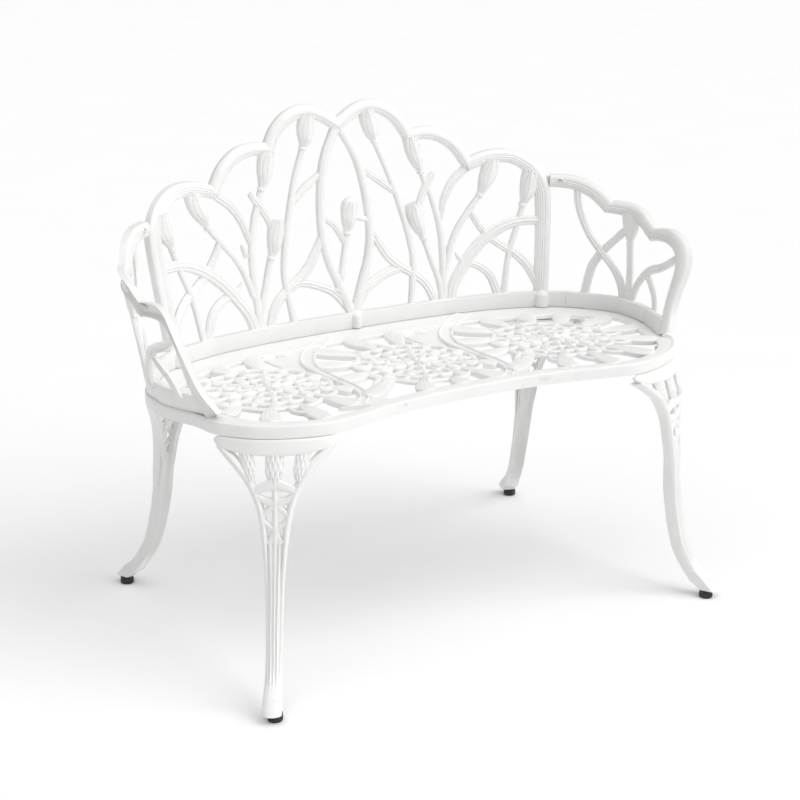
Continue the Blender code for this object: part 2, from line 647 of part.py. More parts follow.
def stretch(path, across, up):
    return [(row[0] * across, row[1] * up, *row[2:]) for row in path]


def rail_solid(path):
    return bent(curve_solid([(s, h, 0.0) for s, h in path], [crown_radius] * len(path), 8))


def stem_solid(path):
    return bent(curve_solid([(s, h, 0.0) for s, h, _ in path], [share * stem_radius for *_, share in path]))


def base_rail(s0, s1, steps, wall_end=rail_wall):
    """Base rail between two lengths; its wall can taper to another thickness at s1."""
    lengths = np.linspace(s0, s1, steps + 1)
    inner = [tuple(plan_offset(s, 0.0)) for s in lengths]
    walls = np.interp(lengths, [s0, s0 + 0.6 * (s1 - s0), s1], [rail_wall, rail_wall, wall_end])
    outer = [tuple(plan_offset(s, w)) for s, w in zip(lengths, walls)]
    base = seat_height + gap
    return flat_solid([inner + outer[::-1]], base, base + rail_height)


def knob(s, h, radius):
    bm = bmesh.new()
    bmesh.ops.create_uvsphere(bm, u_segments=8, v_segments=6, radius=radius)
    mesh = bpy.data.meshes.new("knob")
    bm.to_mesh(mesh)
    bm.free()
    mesh.transform(Matrix.Translation(panel_point(s, h, 0.003)))
    return mesh


def both_sides(meshes):
    return meshes + [mirrored(mesh) for mesh in meshes]


back_across, back_up = back_reach / drawn_reach, back_height / drawn_height
arm_across, arm_up = arm_reach / drawn_arm_reach, arm_height / drawn_arm_height

crown_half_depth = crown_radius * panel_flatness
tab_depth = panel_depth + crown_half_depth + 2 * gap
tab_wall = 0.005
joint_s, joint_h = 0.405, arm_height - 0.001
tab_half_height = 0.008
tab_middle = tab_depth + tab_wall / 2
tab_line = [(back_reach - 0.003, tab_middle - tab_wall), (joint_s - 0.017, tab_middle),
            (joint_s - 0.004, tab_middle), (joint_s + 0.009, tab_middle)]
tab_rows = [[panel_point(s, joint_h + side * tab_half_height, depth) for side in (-1, 1)]
            for s, depth in tab_line]


def joint_axis(depth):
    """Point on the axis of the screw that joins arm and back, at a depth from the inner face."""
    out = seam(joint_s)[1]
    return panel_point(joint_s, joint_h) + Vector((out.x, out.y, 0.0)) * (depth - panel_depth)


half = [rail_solid(stretch(path, back_across, back_up)) for path in crown_paths]
half += [stem_solid(stretch(path, back_across, back_up)) for path in stem_paths]
half.append(knob(back_reach, 0.016, 0.0145))
half.append(sheet_solid(tab_rows, tab_wall))
middle_solids = [stem_solid(stretch(path, back_across, back_up)) for path in [free_bud, *bud_ties]]
middle_solids.append(knob(0.0, 0.016, 0.0115))
back_solids = [base_rail(-rail_split + gap / 2, rail_split - gap / 2, 24)] + both_sides(half) + middle_solids
joint_hole = bore_radius(screw_radius)
joint_bores = both_sides([cylinder(joint_axis(tab_depth - 0.003), joint_axis(0.05), joint_hole)])
casting("back_panel", back_solids, rail_bores([n for n in rail_bolts if n.startswith("back")]) + joint_bores,
        white_back)

arm_solids = [base_rail(rail_split + gap / 2, arm_reach + 0.010, 12, 0.009)]
arm_rail_paths = [stretch(path, arm_across, arm_up) for path in arm_rails]
arm_rail_paths[0][0] = (back_reach + crown_radius + 0.002, arm_height)   # clear of the end post
arm_solids += [rail_solid(path) for path in arm_rail_paths]
arm_solids += [stem_solid(stretch(path, arm_across, arm_up)) for path in arm_stems]
arm_solids.append(knob(0.598, 0.014, 0.009))
head_seat = panel_depth - crown_half_depth + screw_head + 0.0008
arm_bores = [cylinder(joint_axis(-0.02), joint_axis(0.05), joint_hole),
             cylinder(joint_axis(-0.02), joint_axis(head_seat), bore_radius(screw_head_radius))]
arm_bores += rail_bores([n for n in rail_bolts if n.startswith("arm_bolt_right")])
right_arm = casting("arm_right", arm_solids, arm_bores, white_arm)
casting("arm_left", [mirrored(right_arm.data)], [], white_arm)

nut_height = 0.004
nut_start = tab_depth + tab_wall + 3 * gap
screw_end = nut_start + nut_height + 0.002
joint_screw = combined([cylinder(joint_axis(head_seat - gap - 0.001), joint_axis(screw_end), screw_radius)],
                       "UNION",
                       cylinder(joint_axis(head_seat - gap - screw_head), joint_axis(head_seat - gap),
                                screw_head_radius))
joint_nut = combined([cylinder(joint_axis(0.0), joint_axis(0.06), joint_hole)],
                     "DIFFERENCE",
                     cylinder(joint_axis(nut_start), joint_axis(nut_start + nut_height), 0.0046, 6))
for name, mesh in (("arm_screw", joint_screw), ("arm_nut", joint_nut)):
    casting(f"{name}_right", [mesh], [], zinc)
    casting(f"{name}_left", [mirrored(mesh)], [], zinc)
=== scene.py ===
"""Visual model of the garden bench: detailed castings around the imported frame, a pale studio
and a camera that looks down at the bench from its front left.  Metres, +Z up, the bench faces -Y."""
import json
import math

import bmesh
import bpy
import numpy as np
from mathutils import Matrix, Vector


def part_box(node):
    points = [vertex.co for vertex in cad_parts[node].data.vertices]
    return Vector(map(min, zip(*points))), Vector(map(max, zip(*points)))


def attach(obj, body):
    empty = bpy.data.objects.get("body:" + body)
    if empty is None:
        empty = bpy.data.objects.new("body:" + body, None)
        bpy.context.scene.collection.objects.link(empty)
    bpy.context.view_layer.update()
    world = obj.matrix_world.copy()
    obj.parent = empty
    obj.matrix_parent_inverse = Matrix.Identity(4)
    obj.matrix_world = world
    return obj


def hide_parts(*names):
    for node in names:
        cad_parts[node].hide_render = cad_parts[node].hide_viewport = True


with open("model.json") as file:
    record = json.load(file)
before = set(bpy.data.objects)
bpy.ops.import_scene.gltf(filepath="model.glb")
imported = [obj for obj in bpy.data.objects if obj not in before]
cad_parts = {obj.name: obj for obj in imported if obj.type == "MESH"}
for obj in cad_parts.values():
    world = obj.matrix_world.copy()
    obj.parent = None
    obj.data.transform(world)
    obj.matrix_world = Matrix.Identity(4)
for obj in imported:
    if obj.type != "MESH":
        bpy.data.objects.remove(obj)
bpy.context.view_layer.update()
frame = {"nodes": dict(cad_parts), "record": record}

# ---------------------------------------------------------------- sizes from the frame
RAIL_WALL = 0.013          # base rails of back and arms, front to back
RAIL_HEIGHT = 0.028
RIM_MARGIN = 0.002         # seat rim outside the arms' base rails
RIM_MARGIN_BACK = 0.017    # and behind the back's base rail
PANEL_DEPTH = 0.008        # middle of rails and stems behind the base rails' inner face
RECLINE = math.tan(math.radians(9.2))
FLARE_START, FLARE = 0.58, 25.0
GAP = 0.0003
PLATE = 0.008              # thickness of the seat's openwork
SKIRT = 0.020              # height of the seat's rim

seat_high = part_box("seat_panel")[1]
SEAT_TOP = seat_high.z
SEAT_HALF = seat_high.x - RAIL_WALL - RIM_MARGIN
SEAT_BACK = seat_high.y - RAIL_WALL - RIM_MARGIN_BACK
SEAT_FRONT = 0.208
SEAT_CORNER = 0.038
LEG_TOP = SEAT_TOP - SKIRT


# ---------------------------------------------------------------- curves and surfaces
def spline_rows(rows, steps):
    """Smooth curve through the given rows; every column is interpolated alike."""
    rows = np.asarray(rows, dtype=float)
    padded = np.vstack([2 * rows[0] - rows[1], rows, 2 * rows[-1] - rows[-2]])
    out = []
    for i in range(len(rows) - 1):
        p0, p1, p2, p3 = padded[i:i + 4]
        for t in np.arange(steps) / steps:
            out.append(0.5 * (2 * p1 + (p2 - p0) * t + (2 * p0 - 5 * p1 + 4 * p2 - p3) * t ** 2
                              + (3 * p1 - p0 - 3 * p2 + p3) * t ** 3))
    out.append(rows[-1])
    return np.array(out)


# Inner edge of the base rails, right half, as shares of SEAT_HALF and SEAT_BACK.
SEAM_SHAPE = [(0.0, 1.0), (0.218, 0.992), (0.437, 0.953), (0.653, 0.852), (0.850, 0.634),
              (0.983, 0.225), (1.0, -0.046), (0.987, -0.312), (0.906, -0.809)]
seam_line = spline_rows([(x * SEAT_HALF, y * SEAT_BACK) for x, y in SEAM_SHAPE], 24)
seam_s = np.concatenate([[0.0], np.cumsum(np.hypot(*np.diff(seam_line, axis=0).T))])
seam_t = np.gradient(seam_line, axis=0)
seam_t /= np.hypot(*seam_t.T)[:, None]
seam_n = np.stack([-seam_t[:, 1], seam_t[:, 0]], axis=1)


def panel(s, h, d, lean=RECLINE):
    """Points on the reclined surface of back and arms: s along, h above the seat, d outwards."""
    s, h, d = np.broadcast_arrays(s, h, d)
    side = np.where(s < 0, -1.0, 1.0)
    length = np.abs(s)
    x, y = (np.interp(length, seam_s, seam_line[:, k]) for k in (0, 1))
    nx, ny = (np.interp(length, seam_s, seam_n[:, k]) for k in (0, 1))
    over = np.maximum(0.0, length - seam_s[-1])
    x = x + over * seam_t[-1, 0]
    y = y + over * seam_t[-1, 1]
    shift = d + lean * h
    flare = FLARE * np.maximum(0.0, length - FLARE_START) ** 2 * np.maximum(0.0, h)
    return np.stack([side * (x + nx * shift + flare), y + ny * shift, SEAT_TOP + GAP + h], axis=-1)


def upright(s, h, d):
    """The same, without the recline: the base rails stand upright."""
    return panel(s, h, d, 0.0)


def on_seat(a, b, c):
    """Points on the seat: a and b in plan, c below its top."""
    a, b, c = np.broadcast_arrays(a, b, c)
    return np.stack([a, b, SEAT_TOP - c], axis=-1)


def rim_out(s):
    """How far the seat's edge lies outside the base rails' inner edge."""
    return RAIL_WALL + np.interp(s, [0.35, 0.50], [RIM_MARGIN_BACK, RIM_MARGIN])


# Seat's edge, right half, from the back to the front.
rim_side = [panel(s, 0.0, rim_out(s))[:2] for s in np.linspace(0.0, 0.655, 11)]
# x as shares of SEAT_HALF, y from the seat's front
RIM_FRONT = [(0.964, 0.28 * SEAT_FRONT), (0.928, 0.155 * SEAT_FRONT), (0.864, -SEAT_CORNER + 0.040),
             (0.759, -SEAT_CORNER + 0.0135), (0.635, -SEAT_CORNER), (0.506, -SEAT_CORNER + 0.0085),
             (0.346, -0.0115), (0.158, -0.0015), (0.0, 0.0)]
rim_half = spline_rows(rim_side + [(x * SEAT_HALF, y - SEAT_FRONT) for x, y in RIM_FRONT], 8)
rim_line = np.vstack([rim_half, [(-x, y) for x, y in rim_half[1:-1]][::-1]])


# ---------------------------------------------------------------- mesh building
class Shape:
    """Collects the lofts of one piece."""

    def __init__(self):
        self.verts = []
        self.faces = []

    def loft(self, rings, closed=False):
        """Skin over rings of points; an open loft gets end caps."""
        n, m = len(rings), len(rings[0])
        base = len(self.verts)
        self.verts.extend(map(tuple, np.asarray(rings).reshape(-1, 3)))
        for i in range(n if closed else n - 1):
            k = (i + 1) % n
            for j in range(m):
                e = (j + 1) % m
                near, far = base + i * m, base + k * m
                self.faces.append((near + j, near + e, far + e, far + j))
        if not closed:
            self.faces.append(tuple(base + j for j in range(m))[::-1])
            self.faces.append(tuple(base + (n - 1) * m + j for j in range(m)))

    def object(self, name, material, angle=42):
        mesh = bpy.data.meshes.new(name)
        mesh.from_pydata(self.verts, [], self.faces)
        bm = bmesh.new()
        bm.from_mesh(mesh)
        bmesh.ops.recalc_face_normals(bm, faces=bm.faces)
        bm.to_mesh(mesh)
        bm.free()
        mesh.shade_smooth()
        mesh.set_sharp_from_angle(angle=math.radians(angle))
        mesh.materials.append(material)
        obj = bpy.data.objects.new(name, mesh)
        bpy.context.scene.collection.objects.link(obj)
        return obj


def section(front, back, n=14, m=6, draft=0.86):
    """Closed cross-section: (across, depth) with across -1..1 and depth 0 front .. 1 back."""
    t = np.sin(np.linspace(-math.pi / 2, math.pi / 2, n + 1))
    u = np.linspace(draft, -draft, m + 1)
    return (np.concatenate([t, u]), np.concatenate([front(t), back(u / draft)]))


def ridge(t, place, width):
    """Small bead across a profile."""
    return np.exp(-((t - place) / width) ** 2)


def round_front(t):
    return 0.55 - 0.55 * np.sqrt(np.maximum(0.0, 1 - t * t))


def hollow_back(u):
    return 1.0 - 0.30 * (1 - u * u)


def deep_back(u):
    return 1.0 - 0.50 * np.clip(1.25 * (1 - u * u), 0.0, 1.0)


def rail_front(t):
    return round_front(t) + 0.11 * ridge(t, -0.42, 0.09) + 0.09 * ridge(t, -0.70, 0.07)


def reeded_front(t):
    reeds = ((-0.72, 0.07), (-0.45, 0.10), (-0.15, 0.10), (0.16, 0.08))
    return 0.75 * round_front(t) + sum(depth * ridge(t, place, 0.075) for place, depth in reeds)


def banded_front(t):
    return 0.34 - 0.34 * ridge(np.abs(t), 0.80, 0.15)


def leaf_front(t):
    return 0.06 + 0.34 * t * t + 0.075 * (1 - np.cos(3.1 * math.pi * t))


def stem_front(t):
    return round_front(t) * 0.9 + 0.05 * ridge(t, 0.35, 0.10)


def petal_front(t):
    ribs = 0.045 * (1 - np.cos(5.0 * math.pi * t)) * (1 - t * t)
    return 0.42 - 0.42 * np.sqrt(np.maximum(0.0, 1 - t * t)) + ribs


def plain_front(t):
    return 0.03 + 0.30 * np.abs(t) ** 6


RAIL = section(rail_front, hollow_back, 26)
LEAF = section(leaf_front, hollow_back, 20)
STEM = section(stem_front, hollow_back, 16)
REEDED = section(reeded_front, deep_back, 40, 10, 0.99)
BANDED = section(banded_front, lambda u: np.ones_like(u), 26, 2, 0.97)
PETAL = section(petal_front, hollow_back, 24)
FLAT = section(plain_front, lambda u: np.ones_like(u), 14, 2, 0.97)


def stroke(shape, place, rows, profile, thick=0.010, depth=PANEL_DEPTH, steps=6, mirror=False):
    """Bar along rows of (a, b, half width), laid on a surface by place(a, b, depth)."""
    a, b, w = spline_rows(rows, steps).T
    ta, tb = np.gradient(a), np.gradient(b)
    size = np.hypot(ta, tb)
    t, d = profile
    share = np.clip(w / max(w.max() * 0.6, 1e-6), 0.25, 1.0)[:, None]
    across = a[:, None] - (tb / size * w)[:, None] * t
    along = b[:, None] + (ta / size * w)[:, None] * t
    shape.loft(place(-across if mirror else across, along, depth + thick * share * (d - 0.5)))


def bud(shape, place, axis, half_width, thick=0.019, depth=PANEL_DEPTH, open_top=False, mirror=False,
        veins=9.0):
    """Flower bud from its crown down to its neck: three feathered petals over a small collar."""
    a, b = spline_rows(axis, 48 // (len(axis) - 1)).T
    v = np.linspace(0.0, 1.0, len(a))
    crown = [0.14, 0.56, 0.86] if open_top else [0.82, 0.90, 0.96]
    outline_v = [0.0, 0.06, 0.15, 0.32, 0.52, 0.72, 0.86, 0.90, 0.92, 0.96, 0.98, 1.0]
    outline_w = crown + [1.0, 0.92, 0.68, 0.45, 0.40, 0.47, 0.47, 0.38, 0.34]
    w = half_width * np.interp(v, outline_v, outline_w)[:, None]
    ta, tb = np.gradient(a), np.gradient(b)
    size = np.hypot(ta, tb)
    phi = np.linspace(0.0, 2 * math.pi, 48, endpoint=False)
    x, front = np.cos(phi), np.maximum(0.0, np.sin(phi))
    v = v[:, None]
    petal = 0.34 + 0.34 * np.sin(math.pi * np.clip(v * 1.1, 0, 1))
    body = np.clip((0.90 - v) / 0.08, 0.0, 1.0)
    seam = np.exp(-((np.abs(x) - petal) / 0.075) ** 2)
    rib = np.exp(-(x / 0.05) ** 2)
    feather = np.cos(2 * math.pi * (veins * v - 3.0 * np.abs(np.abs(x) - petal)))
    relief = body * (0.022 * feather - 0.20 * seam + 0.10 * rib) * front ** 0.5
    bulge = np.where(np.sin(phi) > 0, np.sin(phi) * 0.62 * thick, np.sin(phi) * 0.38 * thick)
    scale = np.clip(w / half_width * 1.25, 0.0, 1.0)
    d = depth - bulge * scale * (1 + relief)
    edge = w * (1 + 0.012 * body * feather * (1 - front))
    across = a[:, None] - (tb / size)[:, None] * edge * x
    along = b[:, None] + (ta / size)[:, None] * edge * x
    shape.loft(place(-across if mirror else across, along, d))


def knob(shape, place, a, b, half_width, half_height, bulge, mirror=False):
    """Turned boss on a base rail: a short upright barrel with a rounded top."""
    v = np.linspace(0.0, 1.0, 15)
    w = half_width * np.interp(v, [0, 0.08, 0.2, 0.45, 0.75, 0.9, 1.0],
                               [0.86, 0.97, 1.0, 1.0, 0.93, 0.7, 0.2])
    phi = np.linspace(0.0, 2 * math.pi, 28, endpoint=False)
    s = a + w[:, None] * np.cos(phi)
    h = b - half_height + 2 * half_height * v[:, None] + 0 * phi
    d = 0.004 - np.sin(phi) * w[:, None] / half_width * bulge
    shape.loft(place(-s if mirror else s, h, d))


# ---------------------------------------------------------------- materials
def new_material(name):
    mat = bpy.data.materials.new(name)
    mat.use_nodes = True
    tree = mat.node_tree
    return mat, tree, tree.nodes["Principled BSDF"]


def noise(tree, scale, detail, source):
    node = tree.nodes.new("ShaderNodeTexNoise")
    node.inputs["Scale"].default_value = scale
    node.inputs["Detail"].default_value = detail
    tree.links.new(source, node.inputs["Vector"])
    return node.outputs["Fac"]


def ramp(tree, source, stops):
    node = tree.nodes.new("ShaderNodeValToRGB")
    node.color_ramp.elements[0].position, node.color_ramp.elements[0].color = stops[0]
    node.color_ramp.elements[1].position, node.color_ramp.elements[1].color = stops[-1]
    for place, colour in stops[1:-1]:
        node.color_ramp.elements.new(place).color = colour
    tree.links.new(source, node.inputs["Fac"])
    return node.outputs["Color"]


def bump(tree, height, distance, strength, normal=None):
    node = tree.nodes.new("ShaderNodeBump")
    node.inputs["Distance"].default_value = distance
    node.inputs["Strength"].default_value = strength
    tree.links.new(height, node.inputs["Height"])
    if normal is not None:
        tree.links.new(normal, node.inputs["Normal"])
    return node.outputs["Normal"]


def powder_coat(name, tint):
    """White powder coat: soft orange peel over a cast skin, faintly uneven in colour and gloss."""
    mat, tree, shader = new_material(name)
    place = tree.nodes.new("ShaderNodeTexCoord").outputs["Object"]
    cloud = noise(tree, 14.0, 4.0, place)
    peel = noise(tree, 900.0, 2.0, place)
    skin = noise(tree, 130.0, 3.0, place)
    low = tuple(c * 0.965 for c in tint) + (1.0,)
    colour = ramp(tree, cloud, [(0.30, low), (0.62, tuple(tint) + (1.0,))])
    tree.links.new(colour, shader.inputs["Base Color"])
    gloss = ramp(tree, skin, [(0.25, (0.30, 0.30, 0.30, 1)), (0.80, (0.44, 0.44, 0.44, 1))])
    tree.links.new(gloss, shader.inputs["Roughness"])
    rough = bump(tree, skin, 0.0006, 0.30)
    tree.links.new(bump(tree, peel, 0.00012, 0.35, rough), shader.inputs["Normal"])
    shader.inputs["Specular IOR Level"].default_value = 0.5
    shader.inputs["Coat Weight"].default_value = 0.15
    shader.inputs["Coat Roughness"].default_value = 0.25
    return mat


def moulded_plastic(name):
    """Black plastic with a fine grain, scuffed paler in places."""
    mat, tree, shader = new_material(name)
    place = tree.nodes.new("ShaderNodeTexCoord").outputs["Object"]
    grain = noise(tree, 1400.0, 3.0, place)
    scuff = noise(tree, 160.0, 5.0, place)
    tree.links.new(ramp(tree, scuff, [(0.45, (0.012, 0.012, 0.013, 1)), (0.75, (0.045, 0.045, 0.047, 1))]),
                   shader.inputs["Base Color"])
    tree.links.new(ramp(tree, scuff, [(0.3, (0.42, 0.42, 0.42, 1)), (0.8, (0.66, 0.66, 0.66, 1))]),
                   shader.inputs["Roughness"])
    tree.links.new(bump(tree, grain, 0.0001, 0.5), shader.inputs["Normal"])
    return mat


def zinc_plate(name):
    """Zinc-plated steel with a small spangle."""
    mat, tree, shader = new_material(name)
    place = tree.nodes.new("ShaderNodeTexCoord").outputs["Object"]
    cells = tree.nodes.new("ShaderNodeTexVoronoi")
    cells.inputs["Scale"].default_value = 420.0
    tree.links.new(place, cells.inputs["Vector"])
    fine = noise(tree, 1800.0, 2.0, place)
    spangle = [(0.0, (0.56, 0.57, 0.59, 1)), (0.7, (0.70, 0.71, 0.73, 1))]
    tree.links.new(ramp(tree, cells.outputs["Distance"], spangle), shader.inputs["Base Color"])
    tree.links.new(ramp(tree, fine, [(0.3, (0.26, 0.26, 0.26, 1)), (0.7, (0.42, 0.42, 0.42, 1))]),
                   shader.inputs["Roughness"])
    tree.links.new(bump(tree, fine, 0.00005, 0.4), shader.inputs["Normal"])
    shader.inputs["Metallic"].default_value = 1.0
    return mat


coat_seat = powder_coat("white_coat_seat", (0.88, 0.88, 0.87))
coat_back = powder_coat("white_coat_back", (0.89, 0.89, 0.88))
coat_arm = powder_coat("white_coat_arm", (0.87, 0.87, 0.86))
coat_leg = powder_coat("white_coat_leg", (0.88, 0.88, 0.87))
black_glide = moulded_plastic("black_glide")
zinc = zinc_plate("zinc_steel")
finishes = {"white_coat_seat": coat_seat, "white_coat_back": coat_back, "white_coat_arm": coat_arm,
            "white_coat_leg": coat_leg, "black_glide": black_glide, "zinc_steel": zinc}
for part in frame["record"]["subparts"]:
    node_mesh = frame["nodes"][part["node"]].data
    node_mesh.materials.clear()
    node_mesh.materials.append(finishes[part["material_slot"]])

# ---------------------------------------------------------------- back casting
# (along, above the seat, half width)
CROWNS = [
    [(-0.002, 0.3545, 0.0115), (0.035, 0.3765, 0.0118), (0.065, 0.384, 0.0120), (0.095, 0.3755, 0.0120),
     (0.12, 0.3545, 0.0120), (0.138, 0.3260, 0.0112)],
    [(0.134, 0.3255, 0.0105), (0.17, 0.3285, 0.0118), (0.2, 0.3205, 0.0120), (0.228, 0.299, 0.0120),
     (0.2505, 0.2650, 0.0112)],
    [(0.247, 0.2640, 0.0105), (0.275, 0.2745, 0.0118), (0.303, 0.2785, 0.0120), (0.333, 0.2735, 0.0120),
     (0.36, 0.2535, 0.0122), (0.3765, 0.2215, 0.0125), (0.380, 0.18, 0.0125), (0.379, 0.1, 0.0125),
     (0.377, 0.030, 0.0130), (0.377, 0.016, 0.0140)]]
STEMS = [
    [(0.003, 0.352, 0.0085), (0.030, 0.3015, 0.0083), (0.042, 0.2565, 0.0080), (0.048, 0.2065, 0.0080),
     (0.048, 0.1615, 0.0080), (0.039, 0.1165, 0.0080), (0.023, 0.0765, 0.0085), (0.004, 0.025, 0.0100)],
    [(0.070, 0.325, 0.0050), (0.086, 0.286, 0.0056), (0.100, 0.246, 0.0058), (0.114, 0.196, 0.0058),
     (0.126, 0.146, 0.0060), (0.131, 0.106, 0.0062), (0.127, 0.070, 0.0062), (0.120, 0.018, 0.0068)],
    [(0.158, 0.262, 0.0050), (0.168, 0.236, 0.0058), (0.179, 0.206, 0.0060), (0.189, 0.156, 0.0065),
     (0.191, 0.106, 0.0068), (0.189, 0.056, 0.0072), (0.188, 0.018, 0.0082)],
    [(0.154, 0.145, 0.0050), (0.169, 0.097, 0.0058), (0.181, 0.057, 0.0062), (0.185, 0.018, 0.0070)],
    [(0.270, 0.210, 0.0050), (0.246, 0.180, 0.0058), (0.224, 0.152, 0.0060), (0.208, 0.122, 0.0060),
     (0.195, 0.080, 0.0055)],
    [(0.347, 0.190, 0.0048), (0.334, 0.146, 0.0054), (0.322, 0.111, 0.0056), (0.314, 0.076, 0.0058),
     (0.306, 0.018, 0.0066)]]
LEAVES = [
    [(0.250, 0.262, 0.0075), (0.222, 0.240, 0.0082), (0.203, 0.212, 0.0075), (0.193, 0.180, 0.0050),
     (0.189, 0.160, 0.0025)],
    [(0.044, 0.274, 0.0050), (0.058, 0.264, 0.0066), (0.075, 0.252, 0.0072), (0.092, 0.238, 0.0066),
     (0.106, 0.226, 0.0050)],
    [(0.046, 0.178, 0.0030), (0.055, 0.158, 0.0070), (0.068, 0.135, 0.0088), (0.084, 0.113, 0.0092),
     (0.106, 0.095, 0.0092), (0.134, 0.077, 0.0090), (0.155, 0.056, 0.0088), (0.172, 0.018, 0.0080)],
    [(0.247, 0.190, 0.0035), (0.258, 0.166, 0.0062), (0.280, 0.136, 0.0072), (0.304, 0.116, 0.0078),
     (0.329, 0.100, 0.0084), (0.352, 0.076, 0.0088), (0.368, 0.044, 0.0075), (0.376, 0.030, 0.006)],
    [(0.216, 0.109, 0.0012), (0.224, 0.098, 0.0050), (0.240, 0.090, 0.0072), (0.263, 0.080, 0.0080),
     (0.283, 0.060, 0.0084), (0.298, 0.018, 0.0088)]]
BIG_LEAF = [(0.380, 0.158, 0.0085), (0.345, 0.159, 0.0092), (0.313, 0.152, 0.0105), (0.283, 0.136, 0.0110),
            (0.254, 0.111, 0.0112), (0.229, 0.081, 0.0112), (0.209, 0.051, 0.0110), (0.199, 0.018, 0.0105)]
BASE_ARC = [(0.004, 0.030, 0.0095), (0.034, 0.066, 0.0095), (0.064, 0.082, 0.0090), (0.088, 0.090, 0.0086),
            (0.116, 0.092, 0.0060)]
THORN = [(0.183, 0.256, 0.0040), (0.176, 0.247, 0.0068), (0.164, 0.230, 0.0072), (0.153, 0.209, 0.0066),
         (0.148, 0.192, 0.0050)]
BUDS = [([(0.058, 0.378), (0.063, 0.356), (0.067, 0.335), (0.073, 0.318)], 0.0165),
        ([(0.140, 0.326), (0.146, 0.302), (0.152, 0.278), (0.160, 0.256)], 0.0160),
        ([(0.136, 0.205), (0.140, 0.185), (0.147, 0.160), (0.156, 0.138)], 0.0160),
        ([(0.293, 0.274), (0.287, 0.250), (0.278, 0.228), (0.267, 0.205)], 0.0155),
        ([(0.360, 0.250), (0.357, 0.225), (0.352, 0.205), (0.344, 0.184)], 0.0155)]
THIN_STEM, THICK_STEM = 0.0085, 0.0115

RAIL_SPLIT = 0.421
TAB_DEPTH, TAB_WALL = 0.0160, 0.005    # lug behind the arm's rail, where the joint screw's nut sits


def lug(shape, mirror):
    """Rounded lug from the end post to the joint screw."""
    rows = [(0.374, 0.230, 0.0085), (0.388, 0.230, 0.0080), (0.401, 0.230, 0.0080), (0.411, 0.230, 0.0055)]
    stroke(shape, panel, rows, FLAT, TAB_WALL, TAB_DEPTH + TAB_WALL / 2, 8, mirror)


back = Shape()
for mirror in (False, True):
    for path in CROWNS:
        stroke(back, panel, path, REEDED if path is CROWNS[2] else RAIL, 0.0165, mirror=mirror, steps=10)
    for path in STEMS:
        thick = THICK_STEM if path is STEMS[0] else THIN_STEM
        stroke(back, panel, path, STEM, thick, mirror=mirror, steps=8)
    for path in LEAVES:
        stroke(back, panel, path, LEAF, 0.0095, mirror=mirror, steps=8)
    stroke(back, panel, BIG_LEAF, LEAF, 0.0110, depth=PANEL_DEPTH - 0.0015, mirror=mirror, steps=8)
    stroke(back, panel, BASE_ARC, LEAF, 0.0100, depth=PANEL_DEPTH + 0.001, mirror=mirror, steps=8)
    stroke(back, panel, THORN, LEAF, 0.0085, depth=PANEL_DEPTH - 0.002, mirror=mirror, steps=8)
    for axis, half_width in BUDS:
        bud(back, panel, axis, half_width, mirror=mirror)
    knob(back, upright, 0.377, 0.0155, 0.0140, 0.0155, 0.0135, mirror=mirror)
    lug(back, mirror)
knob(back, upright, 0.0, 0.0155, 0.0105, 0.0150, 0.0125)
# the free bud of the middle window, its stem and ties, and one small thorn leaf on the left
bud(back, panel, [(0.013, 0.230), (0.010, 0.208), (0.005, 0.185), (0.000, 0.163)], 0.0170, open_top=True)
stroke(back, panel, [(0.001, 0.168, 0.0050), (-0.008, 0.130, 0.0056), (-0.020, 0.086, 0.0058),
                     (-0.030, 0.068, 0.0060)], STEM, THIN_STEM)
stroke(back, panel, [(0.016, 0.196, 0.0060), (0.030, 0.190, 0.0050), (0.046, 0.186, 0.0058)], STEM, THIN_STEM)
stroke(back, panel, [(-0.047, 0.200, 0.0050), (-0.022, 0.182, 0.0072), (-0.004, 0.150, 0.0062)], LEAF, 0.009)
stroke(back, panel, [(-0.208, 0.172, 0.0012), (-0.205, 0.163, 0.0042), (-0.200, 0.150, 0.0050)], LEAF, 0.008)


def base_rail(shape, s0, s1, mirror=False, end_wall=RAIL_WALL):
    """Upright base rail with softened edges, as one loft along the seam."""
    s = np.linspace(s0, s1, 90)
    wall = np.interp(s, [s0, s0 + 0.6 * (s1 - s0), s1], [RAIL_WALL, RAIL_WALL, end_wall])[:, None]
    soft = 0.0016
    up = [0.0, soft * 0.4, RAIL_HEIGHT - soft, RAIL_HEIGHT - soft * 0.3, RAIL_HEIGHT]
    h = np.array(up + up[::-1])
    q = np.array([0.03, 0.0, 0.0, 0.03, 0.12, 0.88, 0.97, 1.0, 1.0, 0.97])
    s = np.broadcast_to(s[:, None], (90, len(h)))
    shape.loft(upright(-s if mirror else s, h, q * wall))


base_rail(back, -RAIL_SPLIT + GAP / 2, RAIL_SPLIT - GAP / 2)
back_piece = back.object("back_casting", coat_back)
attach(back_piece, "bench")
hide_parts("back_panel")

